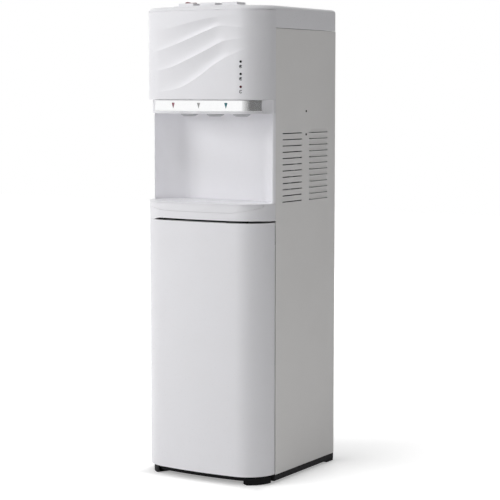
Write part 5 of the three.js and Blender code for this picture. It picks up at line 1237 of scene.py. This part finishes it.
# Niche shell: one deep white moulding behind the taps. Its back is flat between two wide round corners,
# its sides end in cheeks with rounded front edges, and it has a ceiling and a floor for the drip tray.
niche_half = half_width - 4.4 * mm
niche_back = -rear_y + 120 * mm
niche_radius = 60 * mm
niche_wall = 1.8 * mm
niche_floor = tray_top - 15.7 * mm
niche_low = 567.6 * mm
niche_floor_wall = 2.5 * mm
niche_floor_run = 6 * mm
ceiling_side = half_width - 1.4 * mm
ceiling_round = 0.25 * mm
apron_wall = 2.5 * mm
cheek_x = half_width - cheek_radius
cheek_tip_room = 0.16
wall_turn, low_turn = 0.115, -0.02
niche_centre = np.array([niche_half - niche_radius, niche_back - niche_radius])


def round_places(centre, radius, angle):
    """Places on a circle in plan at some angles, as a column of cosines beside a column of sines."""
    return centre + radius * np.column_stack([np.cos(angle), np.sin(angle)])


def niche_line(offset, first_turn, steps=28):
    """The niche's back in plan, moved out by an offset, from its left end to its right end."""
    right = round_places(niche_centre, niche_radius + offset, np.linspace(first_turn, math.pi / 2, steps))
    return np.vstack([right * [-1, 1], right[::-1]])


def cheek_line(steps=16):
    """The right cheek's edge from the side inwards: an eighth round, a tight turn at its tip, the wall."""
    tip_turn = math.acos((niche_half - cheek_x) / cheek_radius)
    arc = round_places([cheek_x, seam_y], cheek_radius, -np.linspace(0, tip_turn - cheek_tip_room, steps))
    tip = round_places([cheek_x, seam_y], cheek_radius, [-tip_turn])
    wall = round_places(niche_centre, niche_radius, [wall_turn])
    share = np.linspace(0, 1, 7)[1:-1, None]
    turn = (1 - share) ** 2 * arc[-1] + 2 * share * (1 - share) * tip + share ** 2 * wall
    return np.vstack([arc, turn])


def upright_wall(line, thickness, bottom, top):
    """A wall along a line in plan, thick to its left, with square edges."""
    along = np.gradient(line, axis=0)
    along /= np.linalg.norm(along, axis=1, keepdims=True)
    back = line + thickness * np.stack([-along[:, 1], along[:, 0]], axis=-1)
    corners = [np.column_stack([plan, np.full(len(plan), level)])
               for plan, level in ((line, bottom), (line, top), (back, top), (back, bottom))]
    return closed_stack(np.stack(corners, axis=1))


cheek = cheek_line()
niche_path = np.vstack([cheek * [-1, 1], niche_line(0, wall_turn), cheek[::-1]])
upper_wall = upright_wall(niche_path, niche_wall, tray_top + clearance, ceiling_top)
lower_wall = upright_wall(niche_line(0, low_turn), niche_wall, niche_low, tray_top + clearance + 2 * hair)
floor_line = niche_line(niche_wall / 2, low_turn)
floor_front, floor_outward = front_line(niche_centre[1] - niche_floor_run, corner_steps=16, bow_steps=24)
floor_front = floor_front - floor_outward * (apron_wall + clearance)
floor_front = floor_front[np.abs(floor_front[:, 0]) < floor_line[-1, 0]]
floor_plate = plate(
    np.vstack([floor_line, floor_front[::-1]]), niche_floor - niche_floor_wall, niche_floor, clearance)
ceiling_rear = niche_back + niche_wall
ceiling_ends = [[ceiling_side, seam_y], [ceiling_side, ceiling_rear],
                [-ceiling_side, ceiling_rear], [-ceiling_side, seam_y]]
ceiling = plate(np.vstack([nose_place[1:-1], ceiling_ends]), niche_ceiling, ceiling_top, ceiling_round, 2)
niche = make_piece("niche_moulding", joined(upper_wall, lower_wall, floor_plate, ceiling), moulded_angle)
# The niche's white is painted lighter than the casing's: painted light for its shaded recess.
niche_gloss_painted_light = moulded_material(
    "white_gloss_painted_light", colour=(0.93, 0.926, 0.955), dust=(0.88, 0.87, 0.865), dust_share=0.10,
    smooth=0.27, rough=0.31, grain=0.0015 * mm, swell=0.02 * mm, Specular_IOR_Level=0.35)
settle(niche, niche_gloss_painted_light, "cabinet", "white_plastic", "niche_shell")

# Apron: the white strip under the niche. It is cut away above a smile-shaped line, where the drip tray's
# own front fills the casing's surface, and a small flat closes each corner beside the tray.
apron_bottom = 564.7 * mm
tray_half = half_width - 9 * mm
beside_tray = tray_half + running
flat_wall = 2.5 * mm
apron_places, flat_places = 161, 12
flat_rear = seam_y - 7.3 * mm
apron_dips = ((-1, 4.4 * mm, math.radians(5), math.radians(30)),
              (1, 1.3 * mm, math.radians(45), math.radians(78)))
smile_shares = (0, 0.397, 0.61, 0.733, 0.863, 0.945, 1)
smile_rise_shares = (0.457, 0.457, 0.471, 0.543, 0.657, 0.743, 0.843)


def smile_height(x):
    """The level of the smile line: a smooth curve through its table, from the middle out to both ends."""
    along = np.clip(np.abs(x) / tray_half, 0, 1)
    return apron_bottom + (tray_top - apron_bottom) * smooth_through(smile_shares, smile_rise_shares, along)


def strip_sections(bottom, top):
    """Sections of a strip of the casing's front whose lower and upper levels change along it."""
    section = changing_section((0, bottom), (0, top), (apron_wall, top), (apron_wall, bottom))
    return rounded(section, edge_round, steps=3)


def heading_at(x):
    """The heading of the front at a width past the corner's start."""
    return np.sign(x) * math.asin((abs(x) - corner_x) / corner_radius)


apron_turn = front_heading(seam_y)
step_turns = [heading_at(hand * (beside_tray + shift))
              for hand in (-1, 1) for shift in (-2 * hair, 2 * hair)]
apron_heading = merged(np.linspace(-apron_turn, apron_turn, apron_places), step_turns)
apron_place, apron_outward = front_places(apron_heading)
apron_lower = apron_bottom - sum(
    dip * smooth_step(hand * apron_heading, first, last) for hand, dip, first, last in apron_dips)
apron_upper = np.where(np.abs(apron_place[:, 0]) > beside_tray, tray_top, smile_height(apron_place[:, 0]))
apron_strip = run_along(strip_sections(apron_lower, apron_upper), apron_place, apron_outward)
corner_flats = []
for hand in (-1, 1):
    turns = np.linspace(heading_at(beside_tray), front_heading(flat_rear), flat_places)
    flat_place, flat_outward = front_places(hand * turns)
    flat_plan = np.vstack([flat_place - flat_outward * clearance, [[hand * beside_tray, flat_rear]]])
    corner_flats.append(plate(flat_plan, tray_top - flat_wall, tray_top - nearly, clearance))
apron = make_piece("apron_moulding", joined(apron_strip, *corner_flats), moulded_angle)
settle(apron, white_gloss, "cabinet", "white_plastic", "apron")

# Drip tray: a shallow white pan behind a curved front that continues the apron, with a slotted cover on
# it. The whole tray slides out to be emptied.
grille_wall = 2.4 * mm
tray_rim = tray_top - grille_wall - clearance
pan_half = half_width - 51 * mm
pan_bottom = niche_floor + clearance
pan_room = 1.2 * mm
pan_wall = 2.5 * mm
pan_inset = 2 * mm
pan_corner = 6 * mm
pan_edge = 0.8 * mm
smile_gap = 0.25 * mm
tray_places = 141
tray_turn = heading_at(tray_half)
tray_heading = np.linspace(-tray_turn, tray_turn, tray_places)
tray_place, tray_outward = front_places(tray_heading)
tray_lower = smile_height(tray_place[:, 0]) + smile_gap
tray_front = run_along(
    strip_sections(tray_lower, np.full_like(tray_lower, tray_rim)), tray_place, tray_outward)


def front_depth(x):
    """Where the casing's front lies at a width: on the bow's circle, or past it on the corner's circle."""
    past = np.clip(np.abs(x) - corner_x, 0, None)
    bow = bow_centre - np.sqrt(bow_radius ** 2 - x ** 2)
    return np.where(past > 0, corner_y - np.sqrt(corner_radius ** 2 - past ** 2), bow)


def pan_outline(margin, count=41):
    """The pan's plan moved in by a margin: straight sides and back, and the casing's bow in front."""
    half, rear = pan_half - margin, niche_back - pan_room - margin
    x = np.linspace(-half, half, count)
    back = rounded([[-half, 0], [half, 0], [half, rear], [-half, rear]], pan_corner)
    return np.vstack([np.column_stack([x, front_depth(x) + pan_inset + margin]), back[len(back) // 2:]])


outer_pan, inner_pan = pan_outline(0), pan_outline(pan_wall)
pan_rings = rings_at(
    [shrunk(outer_pan, pan_edge), outer_pan, outer_pan, inner_pan, inner_pan, shrunk(inner_pan, pan_inset)],
    [pan_bottom, pan_bottom + pan_edge, tray_rim, tray_rim, pan_bottom + pan_wall + pan_inset,
     pan_bottom + pan_wall])
drip_tray = make_piece("drip_tray_moulding", joined(tray_front, closed_stack(pan_rings)), moulded_angle)
settle(drip_tray, white_gloss, "drip_tray_set", "white_plastic", "drip_tray")

slot_length = 16 * mm
slot_width = 2 * mm
slot_gap = 5 * mm
slot_rows = 3
slot_starts = -rear_y + 48 * mm + np.arange(slot_rows) * slot_gap
slot_margin = 3 * mm
grille_round = 0.4 * mm
grille_columns = 73


def grille_sheet():
    """The tray's cover as a flat sheet: rows from the curved front edge over straight lines along the slots
    to the curved rear edge, with the slots left out."""
    middles = [side * tap_pitch for name, side in taps]
    slot_ends = [middle + sign * slot_length / 2 for middle in middles for sign in (-1, 1)]
    x = merged(np.linspace(-tray_half, tray_half, grille_columns), slot_ends)
    past = np.clip(np.abs(x) - niche_centre[0], 0, None)
    rear = niche_centre[1] + np.sqrt((niche_radius - pan_room) ** 2 - past ** 2)
    edges = np.stack([slot_starts, slot_starts + slot_width], axis=-1).ravel()
    straight = np.concatenate([[edges[0] - slot_margin], edges, [edges[-1] + slot_margin]])
    y = np.stack([front_depth(x), *(np.full_like(x, level) for level in straight),
                  (rear + straight[-1]) / 2, rear])
    points = np.stack([np.broadcast_to(x, y.shape), y, np.full(y.shape, tray_top)], axis=-1)
    slots = [(middle, start + slot_width / 2) for middle in middles for start in slot_starts]
    return points, with_holes(points, slots, (slot_length / 2, slot_width / 2), [0, 1])[:, ::-1].tolist()


grille = make_piece("drip_grille_cover", grille_sheet(), moulded_angle, outwards=False)
thicken(grille, "thickness", grille_wall)
soften = grille.modifiers.new("edges", "BEVEL")
soften.width = grille_round
soften.segments = 2
soften.limit_method = "ANGLE"
soften.angle_limit = math.radians(moulded_angle)
settle(grille, white_gloss, "drip_tray_set", "white_plastic", "drip_grille")

# Inner pieces: the bay's liner, the tanks, taps, hoses and pump, the compressor with its condenser, the
# control board, and the sheets and fittings at the back. They keep their solids from the frame, each in
# its own finish.
inner_white = moulded_material(
    "white_inner_plastic", colour=(0.77, 0.775, 0.77), dust=(0.62, 0.6, 0.56), dust_share=0.15,
    smooth=0.35, rough=0.55, grain=0.03 * mm, swell=0.1 * mm)
black_paint = metal_material(
    "black_stoved_paint", colour=(0.02, 0.02, 0.022), stain=(0.07, 0.065, 0.06), stain_share=0.3,
    smooth=0.35, rough=0.55, grain=0.02 * mm, metallic=0)
zinc_sheet = metal_material(
    "zinc_sheet", colour=(0.52, 0.53, 0.54), stain=(0.45, 0.46, 0.475), stain_share=0.5, smooth=0.38,
    rough=0.5, grain=0.004 * mm, metallic=1)
copper = metal_material(
    "drawn_copper", colour=(0.62, 0.30, 0.18), stain=(0.30, 0.14, 0.09), stain_share=0.5, smooth=0.25,
    rough=0.42, grain=0.008 * mm, metallic=1)
jacket_foam = moulded_material(
    "jacket_foam", colour=(0.84, 0.82, 0.76), dust=(0.7, 0.66, 0.58), dust_share=0.3, smooth=0.8,
    rough=0.95, grain=0.12 * mm, swell=0.5 * mm)
soft_hose = moulded_material(
    "silicone_hose", colour=(0.72, 0.75, 0.76), dust=(0.6, 0.6, 0.58), dust_share=0.1, smooth=0.25,
    rough=0.35, grain=0.004 * mm, swell=0.02 * mm, Subsurface_Weight=0.2)
clear_plastic = moulded_material(
    "clear_pipe_plastic", colour=(0.75, 0.78, 0.8), dust=(0.7, 0.72, 0.72), dust_share=0.05,
    smooth=0.1, rough=0.2, grain=0.002 * mm, swell=0.01 * mm)
green_board = moulded_material(
    "coated_circuit_board", colour=(0.02, 0.11, 0.05), dust=(0.05, 0.16, 0.09), dust_share=0.4,
    smooth=0.25, rough=0.4, grain=0.02 * mm, swell=0.02 * mm)
wear_node(inner_white, "bay_liner", "bottle_probe")
# The machine shelf's black is partly its paint and partly painted shade for the gap over the door.
wear_node(black_paint, "machine_shelf", "compressor", "condenser")
wear_node(zinc_sheet, "back_panel", "tank_deck")
wear_node(steel, "cold_tank", "hot_tank", "hot_tank_heater")
wear_node(copper, "evaporator_coil")
wear_node(jacket_foam, "cold_tank_foam")
wear_node(
    soft_hose, "suction_hose", "riser_hose", "hot_feed_hose", "hot_tap_hose", "room_tap_hose",
    "cold_tap_hose")
wear_node(clear_plastic, "light_pipes", "tap_valve_hot", "tap_valve_room", "tap_valve_cold")
wear_node(green_board, "control_board")
wear_node(black_plastic, "switch_panel", "power_inlet", "drain_cap", "rocker_cold", "water_pump")
wear_node(red_plastic, "rocker_hot")

# Condenser wires: thin black steel wires spot-welded across the tube's runs, in front of it and behind it,
# that carry its heat to the air.
wire_radius = 0.7 * mm
wire_pitch = 9 * mm
wire_count = 24
wire_bottom, wire_top = 101 * mm, 497 * mm
tube_y = 152.5 * mm
tube_radius = 3 * mm
wire_sides = 6
wire_turn = np.linspace(0, 2 * math.pi, wire_sides, endpoint=False)
wires = []
for hand in (-1, 1):
    for x in (np.arange(wire_count) - (wire_count - 1) / 2) * wire_pitch:
        ring = round_places([x, tube_y + hand * (tube_radius + wire_radius)], wire_radius, wire_turn)
        wires.append(closed_stack(rings_at([ring, ring], [wire_bottom, wire_top])))
settle(make_piece("condenser_wires", joined(*wires)), black_paint, "cabinet", "black_paint")

# Studio: a pale floor under plain soft light, seen from the photograph's side. The floor shows white to
# the camera and keeps the cooler's shadow.
floor_size = 14
camera_place = (1.92185, -3.02620, 0.83827)
camera_target = (0.02408, 0.01502, 0.48598)
camera_lens = 117.18
sensor_width = 36
world_level = 0.13
painted_shade_glow, far_glow = 0.33, 1.0
glow_reach, glow_power = 1.0, 0.35
card_distance, card_low, card_high = 4.5, 0.3, 4.2
card_first, card_last = 4, 140
card_fade = math.radians(34)
card_edge, card_grey = (0.85, 0.85, 0.85), (0.17, 0.17, 0.17)


def placed(name, data, place, target):
    """An object at a place, turned so that it looks along its own minus Z axis at a target."""
    holder = bpy.data.objects.new(name, data)
    holder.location = place
    holder.rotation_euler = (Vector(target) - Vector(place)).to_track_quat("-Z", "Y").to_euler()
    bpy.context.scene.collection.objects.link(holder)
    return holder


def soft_lamp(name, place, target, size, power, mirrored=False):
    """A square soft lamp, which polished pieces mirror only where asked."""
    lamp = bpy.data.lights.new(name, "AREA")
    lamp.shape = "SQUARE"
    lamp.size = size
    lamp.energy = power
    placed(name, lamp, place, target).visible_glossy = mirrored


def calculated(tree, operation, *values):
    """The result of a maths node on its values."""
    node = tree.nodes.new("ShaderNodeMath")
    node.operation = operation
    for socket, value in zip(node.inputs, values):
        feed(tree, socket, value)
    return node.outputs[0]


def seen_or_mirrored(tree):
    """One where the camera or a mirroring surface looks, and zero where light is gathered."""
    path = tree.nodes.new("ShaderNodeLightPath")
    return calculated(tree, "MAXIMUM", path.outputs["Is Camera Ray"], path.outputs["Is Glossy Ray"])


def distance_outside(tree, half_size):
    """How far a place lies outside a box about the origin: the length of its overhang on each axis."""
    result = tree.nodes.new("ShaderNodeTexCoord").outputs["Object"]
    steps = (("ABSOLUTE", None), ("SUBTRACT", half_size), ("MAXIMUM", (0, 0, 0)), ("LENGTH", None))
    for operation, other in steps:
        node = tree.nodes.new("ShaderNodeVectorMath")
        node.operation = operation
        tree.links.new(result, node.inputs[0])
        if other:
            node.inputs[1].default_value = other
        result = node.outputs["Value" if operation == "LENGTH" else "Vector"]
    return result


floor_edge = np.array([-floor_size, floor_size]) / 2
floor_points = np.stack([*np.meshgrid(floor_edge, floor_edge), np.zeros((2, 2))], axis=-1)
floor = make_piece("floor", (floor_points, [[0, 1, 3, 2]]), outwards=False)
floor_material, floor_tree, floor_shader = new_material(
    "pale_floor", Base_Color=(0.85, 0.85, 0.85, 1), Roughness=0.9, Specular_IOR_Level=0,
    Emission_Color=(1, 1, 1, 1))
# The floor's glow is lower close to the cooler's footprint, which paints shade on the floor round the base.
away = remapped(floor_tree, distance_outside(floor_tree, (half_width, rear_y, 0)), 0, glow_reach, 0, 1)
glow_and_painted_shade = remapped(
    floor_tree, calculated(floor_tree, "POWER", away, glow_power), 0, 1, painted_shade_glow, far_glow)
floor_tree.links.new(calculated(floor_tree, "MULTIPLY", seen_or_mirrored(floor_tree), glow_and_painted_shade),
                     floor_shader.inputs["Emission Strength"])
floor.data.materials.append(floor_material)

world = bpy.data.worlds.new("studio")
bpy.context.scene.world = world
world.use_nodes = True
sky = world.node_tree
backdrop = sky.nodes["Background"]
backdrop.inputs["Color"].default_value = (1, 1, 1, 1)
sky.links.new(remapped(sky, seen_or_mirrored(sky), 0, 1, world_level, 1.0), backdrop.inputs["Strength"])

lamps = {
    "key_lamp": dict(place=(-2.6, -2.2, 1.6), target=(0, 0, 0.6), size=1.4, power=55),
    "fill_lamp": dict(place=(3.0, -2.2, 1.0), target=(0, 0, 0.6), size=1.4, power=23),
    "top_lamp": dict(place=(-0.5, -1.5, 3.4), target=(0, 0, 0.8), size=1.2, power=33, mirrored=True),
    "rear_lamp": dict(place=(-1.2, 3.4, 1.8), target=(0, 0, 0.6), size=1.6, power=26),
}
for name, lamp in lamps.items():
    soft_lamp(name, **lamp)

card_turn = np.radians(np.linspace(card_first, card_last, 25))
card_line = round_places(0, card_distance, card_turn - math.pi / 2)
card_points = rings_at([card_line, card_line], [card_low, card_high]).transpose(1, 0, 2)
card = make_piece("dark_card", (card_points, grid_faces(*card_points.shape[:2])), outwards=False)
card.visible_camera = False
card.visible_diffuse = False
card_material, card_tree, card_shader = new_material(
    "grey_card", Base_Color=(0, 0, 0, 1), Specular_IOR_Level=0, Emission_Strength=1)
card_axes = card_tree.nodes.new("ShaderNodeSeparateXYZ")
card_tree.links.new(card_tree.nodes.new("ShaderNodeTexCoord").outputs["Object"], card_axes.inputs[0])
card_heading = calculated(card_tree, "ARCTAN2", card_axes.outputs["Y"], card_axes.outputs["X"])
card_start = math.radians(card_first - 90)
card_faded = remapped(card_tree, card_heading, card_start, card_start + card_fade, 0, 1)
card_tree.links.new(
    tinted(card_tree, card_faded, card_edge, card_grey), card_shader.inputs["Emission Color"])
card.data.materials.append(card_material)

camera = bpy.data.cameras.new("camera")
camera.lens = camera_lens
camera.sensor_width = sensor_width
camera_holder = placed("camera", camera, camera_place, camera_target)
bpy.context.scene.camera = camera_holder
bpy.context.scene.view_settings.view_transform = "Standard"
